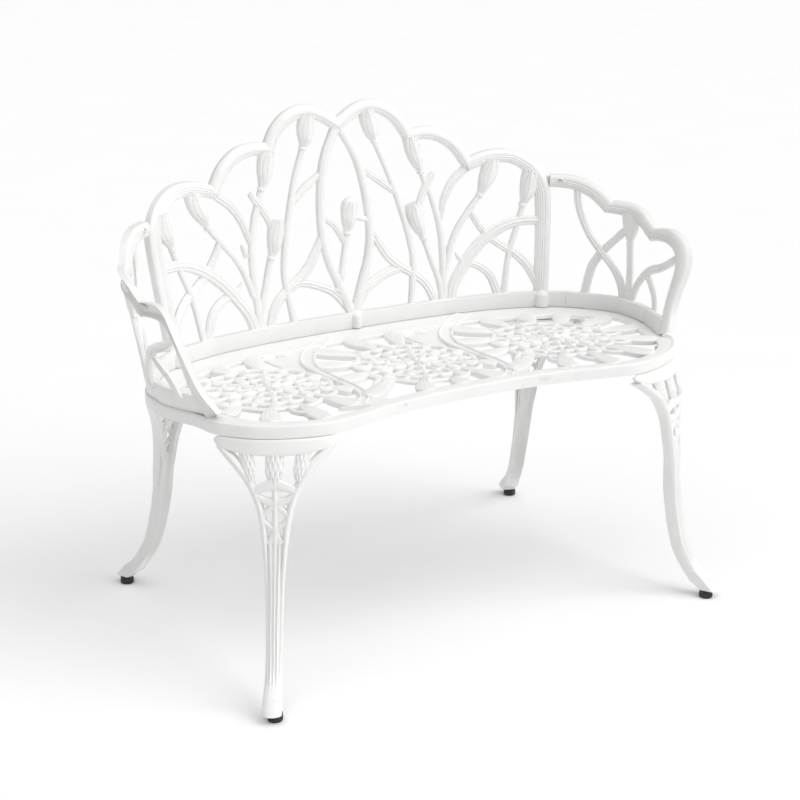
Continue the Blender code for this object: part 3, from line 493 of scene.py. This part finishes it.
# ---------------------------------------------------------------- arm castings
ARM_RAILS = [
    [(0.3900, 0.2306, 0.0116), (0.405, 0.230, 0.0120), (0.426, 0.227, 0.0122), (0.452, 0.216, 0.0122),
     (0.474, 0.199, 0.0122), (0.488, 0.184, 0.0112)],
    [(0.482, 0.188, 0.0105), (0.501, 0.188, 0.0120), (0.519, 0.185, 0.0122), (0.542, 0.173, 0.0122),
     (0.562, 0.162, 0.0122), (0.581, 0.150, 0.0112)],
    [(0.574, 0.154, 0.0105), (0.602, 0.159, 0.0120), (0.624, 0.158, 0.0122), (0.647, 0.148, 0.0122),
     (0.662, 0.129, 0.0122), (0.669, 0.107, 0.0120), (0.670, 0.084, 0.0118), (0.672, 0.060, 0.0120),
     (0.678, 0.036, 0.0130), (0.688, 0.016, 0.0150), (0.694, 0.004, 0.0160)]]
ARM_S_STEM = [(0.430, 0.222, 0.0060), (0.433, 0.190, 0.0059), (0.442, 0.161, 0.0059), (0.456, 0.133, 0.0060),
              (0.478, 0.105, 0.0064), (0.497, 0.085, 0.0066), (0.511, 0.066, 0.0067), (0.520, 0.045, 0.0067),
              (0.526, 0.018, 0.0068)]
ARM_STEM = [(0.524, 0.128, 0.0050), (0.528, 0.100, 0.0056), (0.532, 0.070, 0.0062), (0.536, 0.018, 0.0070)]
ARM_CROSS = [(0.516, 0.150, 0.0058), (0.502, 0.131, 0.0068), (0.487, 0.114, 0.0074), (0.471, 0.092, 0.0078),
             (0.461, 0.069, 0.0080), (0.452, 0.018, 0.0082)]
ARM_LEAF = [(0.667, 0.140, 0.0050), (0.648, 0.127, 0.0074), (0.632, 0.115, 0.0078), (0.610, 0.102, 0.0080),
            (0.584, 0.091, 0.0080), (0.567, 0.076, 0.0080), (0.553, 0.055, 0.0082), (0.543, 0.018, 0.0085)]
ARM_SMALL_LEAF = [(0.574, 0.080, 0.0045), (0.594, 0.062, 0.0066), (0.611, 0.045, 0.0072),
                  (0.624, 0.018, 0.0074)]
ARM_BUD = [(0.519, 0.183), (0.522, 0.165), (0.5235, 0.145), (0.525, 0.124)]
ARM_END = 0.683
JOINT_S, JOINT_H = 0.405, 0.230        # screw that joins arm and back
HEAD_DEPTH = 0.0010                    # its head, from the arms' inner face
SHANK_END = 0.0270


def joint_ring(radius, depth, mirror, hexagon=False, count=48):
    """Ring round the axis of the joint screw; a hexagon if asked for."""
    turn = np.linspace(0.0, 2 * math.pi, count, endpoint=False)
    reach = radius / np.cos((turn % (math.pi / 3)) - math.pi / 6) if hexagon else radius + 0.0 * turn
    foot = panel(JOINT_S, JOINT_H, depth)
    ahead = panel(JOINT_S + 0.001, JOINT_H, depth) - panel(JOINT_S - 0.001, JOINT_H, depth)
    ahead[2] = 0.0
    ahead /= np.linalg.norm(ahead)
    ring = foot + np.outer(reach * np.cos(turn), ahead) + np.outer(reach * np.sin(turn), [0.0, 0.0, 1.0])
    return ring * [-1.0 if mirror else 1.0, 1.0, 1.0]


def cup(shape, s, h, mirror):
    """Raised lip round the head of the joint screw."""
    rows = [(0.0052, 0.0012), (0.0054, -0.0004), (0.0060, -0.0008), (0.0068, -0.0004), (0.0072, 0.0020),
            (0.0062, 0.0030)]
    shape.loft([joint_ring(r, d, mirror) for r, d in rows] + [joint_ring(0.0052, 0.0012, mirror)])


for side, mirror in (("right", False), ("left", True)):
    arm = Shape()
    for path in ARM_RAILS:
        stroke(arm, panel, path, REEDED, 0.0165, mirror=mirror, steps=10)
    stroke(arm, panel, ARM_S_STEM, LEAF, 0.0100, depth=PANEL_DEPTH - 0.0015, mirror=mirror, steps=8)
    stroke(arm, panel, ARM_CROSS, LEAF, 0.0090, depth=PANEL_DEPTH + 0.0015, mirror=mirror, steps=8)
    stroke(arm, panel, ARM_STEM, STEM, THIN_STEM, mirror=mirror, steps=8)
    stroke(arm, panel, ARM_LEAF, LEAF, 0.0105, mirror=mirror, steps=8)
    stroke(arm, panel, ARM_SMALL_LEAF, LEAF, 0.0090, mirror=mirror, steps=8)
    bud(arm, panel, ARM_BUD, 0.0120, 0.017, mirror=mirror, veins=5.0)
    cup(arm, JOINT_S, JOINT_H, mirror)
    knob(arm, upright, 0.600, 0.0145, 0.0090, 0.0115, 0.0075, mirror=mirror)
    base_rail(arm, RAIL_SPLIT + GAP / 2, ARM_END, mirror, 0.009)
    arm_piece = arm.object(f"arm_casting_{side}", coat_arm)
    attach(arm_piece, "bench")
    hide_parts(f"arm_{side}")

    # joint screw: button head with a hexagon socket, and its shank
    screw = Shape()
    top = HEAD_DEPTH - 0.0012
    socket = [(0.0018, top + 0.0018), (0.0020, top + 0.0003), (0.0023, top)]
    head = [(0.0034, top + 0.0002), (0.0043, top + 0.0011), (0.0045, top + 0.0022), (0.0044, top + 0.0034)]
    shank = [(0.0025, top + 0.0035), (0.0025, SHANK_END), (0.0020, SHANK_END + 0.0006)]
    screw.loft([joint_ring(r, d, mirror, True) for r, d in socket]
               + [joint_ring(r, d, mirror) for r, d in head + shank])
    screw_piece = screw.object(f"joint_screw_{side}", zinc, 30)
    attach(screw_piece, "bench")
    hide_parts(f"arm_screw_{side}")


# ---------------------------------------------------------------- seat casting
def inset(line, distance):
    """Closed outline moved inwards, by one distance or by its own at each point."""
    ahead, behind = np.roll(line, -1, axis=0), np.roll(line, 1, axis=0)
    along = ahead - behind
    along /= np.hypot(*along.T)[:, None]
    inward = np.stack([along[:, 1], -along[:, 0]], axis=1)
    return line + inward * np.reshape(distance, (-1, 1))


seat = Shape()
BAND_FRONT, BAND_SIDE, BAND_BACK = 0.022, 0.037, 0.088
band = np.interp(rim_line[:, 1], [-0.235, -0.150, 0.0, 0.17], [BAND_FRONT, BAND_SIDE, BAND_SIDE, BAND_BACK])
EDGE = [(0.0, 0.0200), (0.0, 0.0040), (0.0004, 0.0018), (0.0016, 0.0004), (0.0034, 0.0), (0.0048, 0.0004),
        (0.0060, 0.0013), (0.0074, 0.0014), (0.0086, 0.0006), (0.0110, 0.0004)]
UNDER = [(0.0105, 0.0080), (0.0052, 0.0084), (0.0042, 0.0100), (0.0040, 0.0196), (0.0036, 0.0200)]
outlines = [(inset(rim_line, q), z) for q, z in EDGE]
outlines += [(inset(rim_line, band - 0.0016), 0.0004), (inset(rim_line, band), 0.0020),
             (inset(rim_line, band), 0.0070), (inset(rim_line, band - 0.0010), 0.0080)]
outlines += [(inset(rim_line, q), z) for q, z in UNDER]
stack = np.array([np.column_stack([line, np.full(len(line), SEAT_TOP - z)]) for line, z in outlines])
seat.loft(np.transpose(stack, (1, 0, 2)), closed=True)

RIB = 0.0072               # thickness of the ribs of the lattice
UNIT_PITCH = 0.2785
WHEEL_Y = -0.045           # middle of a flower wheel
WHEEL_RADIUS = 0.104
UNITS = [-0.2985, -0.020, 0.2585]


def seat_stroke(rows, profile=STEM, thick=RIB, lift=0.0, steps=6):
    stroke(seat, on_seat, rows, profile, thick, thick / 2 - lift, steps)


def moved(rows, shift):
    return [(x + shift, *rest) for x, *rest in rows]


def seat_ray(cx, cy, turn, rows, **options):
    """Stroke given by (distance, sideways, half width) along a direction from a middle."""
    dx, dy = math.cos(turn), math.sin(turn)
    seat_stroke([(cx + r * dx - q * dy, cy + r * dy + q * dx, w) for r, q, w in rows], **options)


def inside(line, x, y):
    """Whether a point in plan is inside a closed outline."""
    ax, ay = line.T
    bx, by = np.roll(line, -1, axis=0).T
    crossing = (ay > y) != (by > y)
    where = ax + (y - ay) * (bx - ax) / np.where(by == ay, 1.0, by - ay)
    return bool(np.count_nonzero(crossing & (x < where)) % 2)


# Double-ribbed band between two flower wheels, from the back to the front.
DIVIDER = [(0.226, 0.176, 0.0130), (0.1925, 0.1546, 0.0140), (0.134, 0.0992, 0.0140),
           (0.105, 0.055, 0.0135), (0.0945, 0.015, 0.0115), (0.0935, -0.030, 0.0095),
           (0.0970, -0.080, 0.0085), (0.0985, -0.125, 0.0080), (0.0900, -0.160, 0.0080),
           (0.0660, -0.188, 0.0078)]
divider_x, divider_y, divider_half = spline_rows(DIVIDER, 8).T
band_inner = inset(rim_line, band)


def frame_reach(cx, turn):
    """Distance from a wheel's middle to the edge of its opening in a direction."""
    reach = WHEEL_RADIUS
    while reach < 0.30:
        x, y = cx + reach * math.cos(turn), WHEEL_Y + reach * math.sin(turn)
        if not inside(band_inner, x, y):
            break
        half = np.interp(-y, -divider_y, divider_half)
        sides = [np.interp(-y, -divider_y, divider_x) + shift for shift in (-UNIT_PITCH, 0.0)]
        if any((x - side + math.copysign(half, side - cx)) * (cx - side) < 0 for side in sides):
            break
        reach += 0.002
    return reach


def petal(cx, cy, turn, r0, r1, half, lift=0.0030, blunt=True):
    """Long petal or bud with ribs, its blunt crown outwards."""
    shares = [(0.0, 0.34), (0.18, 0.55), (0.45, 0.86), (0.70, 1.0), (0.86, 0.92), (0.96, 0.66), (1.0, 0.42)]
    if not blunt:
        shares = [(0.0, 0.30), (0.25, 0.80), (0.5, 1.0), (0.75, 0.84), (1.0, 0.30)]
    seat_ray(cx, cy, turn, [(r0 + v * (r1 - r0), 0.0, half * w) for v, w in shares],
             profile=PETAL, thick=0.0125, lift=lift, steps=5)


def leaflet(x, y, turn, length, half):
    seat_ray(x, y, turn, [(0.0, 0.0, half * 0.4), (0.35 * length, 0.10 * length, half),
                          (0.7 * length, 0.12 * length, half * 0.85), (length, 0.0, half * 0.2)],
             profile=LEAF, thick=0.005, lift=0.0010, steps=5)


def wheel(cx, cy):
    """Flower wheel: a small flower, rings, spokes that fork, and petals set between them."""
    for radius, half in ((0.0225, 0.0048), (0.050, 0.0050), (0.077, 0.0052), (WHEEL_RADIUS, 0.0054)):
        turns = np.linspace(0, 2 * math.pi, 37)
        ripple = 1 + (0.035 * np.cos(9 * turns) if radius > 0.03 else 0.0 * turns)
        seat_stroke([(cx + radius * k * math.cos(t), cy + radius * k * math.sin(t), half)
                     for t, k in zip(turns, ripple)], STEM, RIB, 0.0, 2)
    for k in range(6):
        turn = math.pi / 3 * k + 0.2
        petal(cx, cy, turn, 0.004, 0.0235, 0.0062, 0.0022)
        seat_ray(cx, cy, turn + math.pi / 6, [(0.018, 0, 0.0038), (0.034, 0, 0.0042), (0.052, 0, 0.0040)])
        petal(cx, cy, turn, 0.0230, 0.0500, 0.0082, 0.0014, False)
    for k in range(9):
        turn = 2 * math.pi / 9 * k + 0.15
        seat_ray(cx, cy, turn, [(0.048, 0.0, 0.0045), (0.062, 0.003, 0.0045), (0.078, 0.0, 0.0045)])
        petal(cx, cy, turn + math.pi / 9, 0.0510, 0.0770, 0.0095, 0.0016, False)
        seat_ray(cx, cy, turn + math.pi / 9,
                 [(0.076, 0.0, 0.0045), (0.090, -0.003, 0.0045), (0.105, 0.0, 0.0048)])
        petal(cx, cy, turn, 0.0780, 0.1045, 0.0100, 0.0018, False)


PETAL_TURNS = [100, 72, 46, 20, -6, -32, -60, -88, -116, -144, -172, 156, 128]
for cx in UNITS:
    wheel(cx, WHEEL_Y)
    for degrees in PETAL_TURNS:
        if degrees == 46 and cx != UNITS[-1]:
            continue               # a solid web with scrolls takes its place
        turn = math.radians(degrees)
        reach = frame_reach(cx, turn)
        if reach > WHEEL_RADIUS + 0.012:
            half = min(0.0175, 0.0115 + 0.12 * (reach - 0.10))
            petal(cx, WHEEL_Y, turn, WHEEL_RADIUS - 0.002, reach + 0.004, half)
        if reach > 0.17:
            seat_ray(cx, WHEEL_Y, turn - 0.20, [(WHEEL_RADIUS, 0.0, 0.0042), (0.125, 0.004, 0.0040),
                                                (reach - 0.03, 0.030, 0.0036)])
# short leaves on the solid webs: place from the divider's origin, direction in degrees, length
SCROLLS = [(0.044, 0.098, 12, 0.040), (0.072, 0.099, 50, 0.026), (0.086, 0.094, 95, 0.026),
           (0.100, 0.108, 150, 0.024), (0.050, 0.118, 0, 0.030)]
for shift in (-UNIT_PITCH, 0.0):
    seat_stroke(moved(DIVIDER, shift), BANDED, PLATE + 0.001, 0.0012, 8)
    # solid webs where the divider meets the band, with their scrolls
    seat_stroke([(shift + 0.110, 0.140, 0.062), (shift + 0.094, 0.108, 0.052), (shift + 0.080, 0.078, 0.032),
                 (shift + 0.073, 0.046, 0.018), (shift + 0.070, 0.016, 0.012)], FLAT, PLATE - 0.001, -0.0012)
    seat_stroke([(shift + 0.080, -0.204, 0.056), (shift + 0.087, -0.180, 0.036),
                 (shift + 0.096, -0.152, 0.014)], FLAT, PLATE - 0.001, -0.0012)
    for x, y, degrees, length in SCROLLS:
        leaflet(shift + x, y, math.radians(degrees), length, 0.0046)
seat_piece = seat.object("seat_casting", coat_seat)
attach(seat_piece, "bench")
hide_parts("seat_panel")


# ---------------------------------------------------------------- legs
FLANGE_HALF = 0.092
LEG_HALF_DEPTH = 0.012
SHAFT_STEP = 0.0040        # shaft and toe stand this far beside the glide's middle
PAD_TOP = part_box("glide_pad_front_right")[1].z


def rim_hit(direction, start):
    """Where a level line from start along direction meets the seat's edge."""
    best = 0.0
    for a, b in zip(rim_half, rim_half[1:]):
        edge, rel = b - a, a - start
        cross = direction[0] * edge[1] - direction[1] * edge[0]
        if abs(cross) < 1e-9:
            continue
        t = (rel[0] * edge[1] - rel[1] * edge[0]) / cross
        k = (rel[0] * direction[1] - rel[1] * direction[0]) / cross
        if -1e-6 <= k <= 1 + 1e-6:
            best = max(best, t)
    return start + direction * best


class Leg:
    """Surface of a leg: u across it, z up, c inwards from its outer face."""

    def __init__(self, foot, normal, lean, flare, power, mirror):
        self.lean, self.flare, self.power = lean, flare, power
        self.side = -1.0 if mirror else 1.0
        self.normal = np.array(normal) / np.hypot(*normal)
        self.across = np.array([-self.normal[1], self.normal[0]])
        self.top = rim_hit(self.normal, np.array(foot) - self.normal * 0.30)
        reach = np.array(foot) - self.top
        self.reach, self.drift = reach @ self.normal, reach @ self.across
        self.us = np.linspace(-FLANGE_HALF - 0.004, FLANGE_HALF + 0.004, 25)
        starts = [self.top + self.across * u - self.normal * 0.12 for u in self.us]
        self.sag = [(rim_hit(self.normal, start) - self.top) @ self.normal for start in starts]

    def place(self, u, z, c):
        """Points on the leg: it leans and flares outwards on its way down to the glide."""
        u, z, c = np.broadcast_arrays(u, z, c)
        drop = np.clip(1.0 - (z - PAD_TOP) / (LEG_TOP - PAD_TOP), 0.0, 1.0)
        share = self.lean * drop + self.flare * drop ** self.power
        face = LEG_HALF_DEPTH * np.minimum(1.0, drop / 0.12)
        bend = np.interp(u, self.us, self.sag) * (1.0 - 0.6 * np.minimum(1.0, drop / 0.25))
        out = self.reach * share + face + bend - c
        out = out + self.reach * (1.0 - self.lean - self.flare) * drop ** 12
        along = u + self.drift * share / (self.lean + self.flare)
        along = along + SHAFT_STEP * np.interp(z, [0.12, 0.30], [1.0, 0.0])
        plan = self.top + self.across * along[..., None] + self.normal * out[..., None]
        return np.concatenate([plan * [self.side, 1.0], z[..., None]], axis=-1)


FLANGE_HALF_ROWS = [(0.0, 0.4068, 0.0120), (0.030, 0.4073, 0.0115), (0.060, 0.4088, 0.0100),
                    (0.076, 0.4101, 0.0087), (0.085, 0.4116, 0.0072), (0.090, 0.4136, 0.0050),
                    (FLANGE_HALF, 0.4152, 0.0030)]
FLANGE = [(-u, z, w) for u, z, w in FLANGE_HALF_ROWS[:0:-1]] + FLANGE_HALF_ROWS
STRUT = [(0.086, 0.4060, 0.0062), (0.070, 0.3915, 0.0072), (0.053, 0.3750, 0.0074),
         (0.0395, 0.3560, 0.0070), (0.0305, 0.3380, 0.0064), (0.0240, 0.3180, 0.0060),
         (0.0190, 0.2950, 0.0057), (0.0160, 0.2680, 0.0052), (0.0142, 0.2400, 0.0042),
         (0.0124, 0.2100, 0.0034), (0.0115, 0.1800, 0.0028), (0.0109, 0.1400, 0.0026),
         (0.0106, 0.0900, 0.0022)]
CAP_ARCH = [(-0.034, 0.3390, 0.0058), (-0.024, 0.3455, 0.0066), (-0.012, 0.3500, 0.0085),
            (0.0, 0.3520, 0.0108), (0.012, 0.3500, 0.0085), (0.024, 0.3455, 0.0066), (0.034, 0.3390, 0.0058)]
SMILE = [(-0.030, 0.3370, 0.0048), (-0.016, 0.3275, 0.0056), (0.0, 0.3245, 0.0074),
         (0.016, 0.3275, 0.0056), (0.030, 0.3370, 0.0048)]
CROSS = [(0.002, 0.3220, 0.0050), (-0.010, 0.3130, 0.0048), (-0.0185, 0.3040, 0.0044),
         (-0.0185, 0.2970, 0.0044), (-0.009, 0.2885, 0.0046), (0.000, 0.2820, 0.0050)]
LOWER = [(0.0, 0.2840, 0.0046), (-0.004, 0.2740, 0.0044), (-0.0050, 0.2660, 0.0052),
         (-0.010, 0.2600, 0.0056)]
RIB_LINE = [(0.0, 0.3450, 0.0042), (0.0, 0.3200, 0.0048), (0.0, 0.2900, 0.0044), (0.0, 0.2600, 0.0052)]
SHAFT = [(0.0, 0.2700, 0.0182), (0.0, 0.2560, 0.0178), (0.0, 0.2350, 0.0168), (0.0, 0.2000, 0.0150),
         (0.0, 0.1700, 0.0140), (0.0, 0.1360, 0.0135), (0.0, 0.1030, 0.0132), (0.0, 0.0710, 0.0131),
         (0.0, 0.0500, 0.0134), (0.0, 0.0380, 0.0143), (0.0, 0.0280, 0.0152), (0.0, 0.0200, 0.0152),
         (0.0, 0.0146, 0.0148)]
BUNDLES = [(-0.044, 0.0122), (0.0, 0.0146), (0.044, 0.0122)]


def flute(t):
    return 0.05 * (1 - np.cos(5.0 * math.pi * t)) * (np.abs(t) < 0.8) + 0.42 * np.abs(t) ** 4


def channel(u):
    return 1.0 - 0.62 * np.clip(1.15 - 1.3 * u * u, 0.0, 1.0) ** 0.8


def lofted_shaft(shape, leg):
    """Reeded shaft with a hollow back, closing to a solid toe."""
    rows = spline_rows(SHAFT, 8)
    t = np.sin(np.linspace(-math.pi / 2, math.pi / 2, 33))
    u = np.linspace(0.92, -0.92, 15)
    z, w = rows[:, 1], rows[:, 2]
    toe = np.clip((0.068 - z) / 0.030, 0.0, 1.0)[:, None]
    deep = np.interp(z, [0.0146, 0.030, 0.055, 0.10, 0.20, 0.27],
                     [0.034, 0.040, 0.030, 0.027, 0.026, 0.019])[:, None]
    front = flute(t) * (1 - toe) * 0.028 + toe * 0.007 * np.abs(t) ** 2.5
    back_edge = deep * (1 - (1 - channel(u / 0.92)) * (1 - toe)) - toe * 0.004 * np.abs(u) ** 2
    lead = -np.interp(z, [0.0146, 0.022, 0.034, 0.050, 0.09], [0.0105, 0.0125, 0.0110, 0.0045, 0.0])[:, None]
    c = lead + np.concatenate([front, back_edge], axis=1)
    across = rows[:, 0:1] + w[:, None] * np.concatenate([t, u])
    shape.loft(leg.place(across, z[:, None], c))


def leaf_bundle(shape, leg, u, half):
    """Sheaf of long leaves, wider in the middle, with crossing veins."""
    z = np.linspace(0.404, 0.352 if u == 0.0 else 0.357, 40)
    v = np.linspace(0.0, 1.0, 40)[:, None]
    w = half * np.interp(v, [0, 0.3, 0.62, 0.85, 1.0], [0.92, 0.97, 1.0, 0.74, 0.45])
    t = np.sin(np.linspace(-math.pi / 2, math.pi / 2, 41))
    s = np.linspace(0.9, -0.9, 9)
    weave = np.maximum(np.cos(2 * math.pi * (1.9 * t + 2.3 * v)),
                       np.cos(2 * math.pi * (1.9 * t - 2.3 * v)))
    front = 0.0042 * t ** 2 - 0.0011 * weave
    c = np.concatenate([front, np.broadcast_to(0.0115 - 0.002 * s ** 2, (40, 9))], axis=1)
    centre = u * (1.0 - 0.16 * v)
    across = centre + w * np.concatenate([t, s])
    shape.loft(leg.place(across, z[:, None], c + 0.0005))


# direction of each leg seen from above, its lean, its flare and the flare's power
LEG_SETS = {"front": ((0.54, -0.842), 0.40, 0.50, 7.0),
            "rear": ((0.353, 0.935), 0.55, 0.42, 5.5)}
for end, values in LEG_SETS.items():
    for side, mirror in (("right", False), ("left", True)):
        pad_low, pad_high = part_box(f"glide_pad_{end}_{side}")
        foot = ((abs(pad_low.x + pad_high.x)) / 2, (pad_low.y + pad_high.y) / 2)
        leg = Leg(foot, *values, mirror)
        shape = Shape()
        stroke(shape, leg.place, FLANGE, FLAT, 0.0062, 0.0022, 6)
        # shelf under the seat that the bolts pass through
        stroke(shape, leg.place, [(-0.062, 0.4155, 0.0040), (0.0, 0.4155, 0.0040), (0.062, 0.4155, 0.0040)],
               FLAT, 0.046, 0.025, 12)
        for sign in (-1, 1):
            stroke(shape, leg.place, [(sign * u, z, w) for u, z, w in STRUT], STEM, 0.0200, 0.0098, 8)
            stroke(shape, leg.place, [(sign * u, z, w) for u, z, w in CROSS], STEM, 0.0085, 0.0050, 8)
            stroke(shape, leg.place, [(sign * u, z, w) for u, z, w in LOWER], STEM, 0.0080, 0.0050, 8)
        stroke(shape, leg.place, CAP_ARCH, STEM, 0.0095, 0.0045, 8)
        stroke(shape, leg.place, SMILE, STEM, 0.0088, 0.0048, 8)
        stroke(shape, leg.place, RIB_LINE, STEM, 0.0095, 0.0045, 8)
        for u, half in BUNDLES:
            leaf_bundle(shape, leg, u, half)
        lofted_shaft(shape, leg)
        leg_piece = shape.object(f"leg_casting_{end}_{side}", coat_leg)
        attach(leg_piece, "bench")
        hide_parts(f"leg_{end}_{side}")

        # glide: moulded pad with a grip rim and a soft lower edge
        pad = Shape()
        r = (pad_high.x - pad_low.x) / 2
        centre = np.array([(pad_low.x + pad_high.x) / 2, (pad_low.y + pad_high.y) / 2])
        top = pad_high.z
        profile = [(0.30, top - 0.0002), (0.84, top), (0.92, top - 0.0006), (0.955, top - 0.0018),
                   (0.955, top - 0.0050), (0.93, top - 0.0056), (0.93, top - 0.0062), (1.0, top - 0.0070),
                   (1.0, 0.0034), (0.97, 0.0014), (0.90, 0.0004), (0.80, 0.0), (0.30, 0.0002)]
        turn = np.linspace(0.0, 2 * math.pi, 72, endpoint=False)
        knurl = 1.0 - 0.012 * (np.cos(36 * turn) > 0)
        rings = []
        for share, z in profile:
            grip = knurl if share == 1.0 and z > 0.0034 else np.ones_like(turn)
            radius = r * share * grip
            rings.append(np.column_stack([centre[0] + radius * np.cos(turn),
                                          centre[1] + radius * np.sin(turn), np.full(72, z)]))
        pad.loft(rings)
        pad_piece = pad.object(f"glide_{end}_{side}_pad", black_glide, 30)
        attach(pad_piece, f"glide_{end}_{side}")
        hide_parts(f"glide_pad_{end}_{side}")

# ---------------------------------------------------------------- studio and camera
world = bpy.data.worlds.new("studio")
bpy.context.scene.world = world
world.use_nodes = True
sky = world.node_tree
compass = sky.nodes.new("ShaderNodeSeparateXYZ")
sky.links.new(sky.nodes.new("ShaderNodeTexCoord").outputs["Generated"], compass.inputs["Vector"])
zenith = ramp(sky, compass.outputs["Z"], [(0.0, (1.0, 1.0, 1.0, 1)), (0.04, (1.0, 1.0, 1.0, 1)),
                                          (0.09, (0.32, 0.32, 0.32, 1)), (1.0, (0.38, 0.38, 0.38, 1))])
sidelong = sky.nodes.new("ShaderNodeMapRange")
for socket, value in (("From Min", -1.0), ("From Max", 1.0), ("To Min", 0.45), ("To Max", 1.35)):
    sidelong.inputs[socket].default_value = value
sky.links.new(compass.outputs["X"], sidelong.inputs["Value"])
sky.links.new(zenith, sky.nodes["Background"].inputs["Color"])
sky.links.new(sidelong.outputs["Result"], sky.nodes["Background"].inputs["Strength"])

FLOOR_HALF = 60
floor_mesh = bpy.data.meshes.new("floor")
floor_corners = [(x * FLOOR_HALF, y * FLOOR_HALF, 0) for x, y in ((-1, -1), (1, -1), (1, 1), (-1, 1))]
floor_mesh.from_pydata(floor_corners, [], [(0, 1, 2, 3)])
floor = bpy.data.objects.new("floor", floor_mesh)
bpy.context.scene.collection.objects.link(floor)
floor_mat, floor_tree, floor_shader = new_material("pale_floor")
floor_place = floor_tree.nodes.new("ShaderNodeTexCoord").outputs["Object"]
floor_tree.links.new(ramp(floor_tree, noise(floor_tree, 3.0, 3.0, floor_place),
                          [(0.3, (0.972, 0.972, 0.972, 1)), (0.7, (0.985, 0.985, 0.985, 1))]),
                     floor_shader.inputs["Base Color"])
floor_shader.inputs["Roughness"].default_value = 0.9
floor_mesh.materials.append(floor_mat)


def soft_sun(name, direction, spread, strength):
    """Wide, even light from a direction (pointing towards the light)."""
    data = bpy.data.lights.new(name, "SUN")
    data.angle = math.radians(spread)
    data.energy = strength
    lamp = bpy.data.objects.new(name, data)
    lamp.rotation_euler = Vector(direction).to_track_quat("Z", "Y").to_euler()
    bpy.context.scene.collection.objects.link(lamp)


soft_sun("key", (0.50, -0.60, 0.66), 50.0, 1.55)
soft_sun("top", (-0.22, -0.12, 1.0), 70.0, 1.25)

VIEW_AZIMUTH = math.radians(31.506)
VIEW_PITCH = math.radians(17.99)
camera_data = bpy.data.cameras.new("camera")
camera_data.lens = 76.08
camera_data.sensor_width = 36.0
camera = bpy.data.objects.new("camera", camera_data)
camera.location = (-1.4639, -2.3480, 1.2545)
camera.rotation_euler = (math.pi / 2 - VIEW_PITCH, 0.0, -VIEW_AZIMUTH)
bpy.context.scene.collection.objects.link(camera)
bpy.context.scene.camera = camera

bpy.context.scene.view_settings.view_transform = "Standard"

bpy.context.view_layer.update()
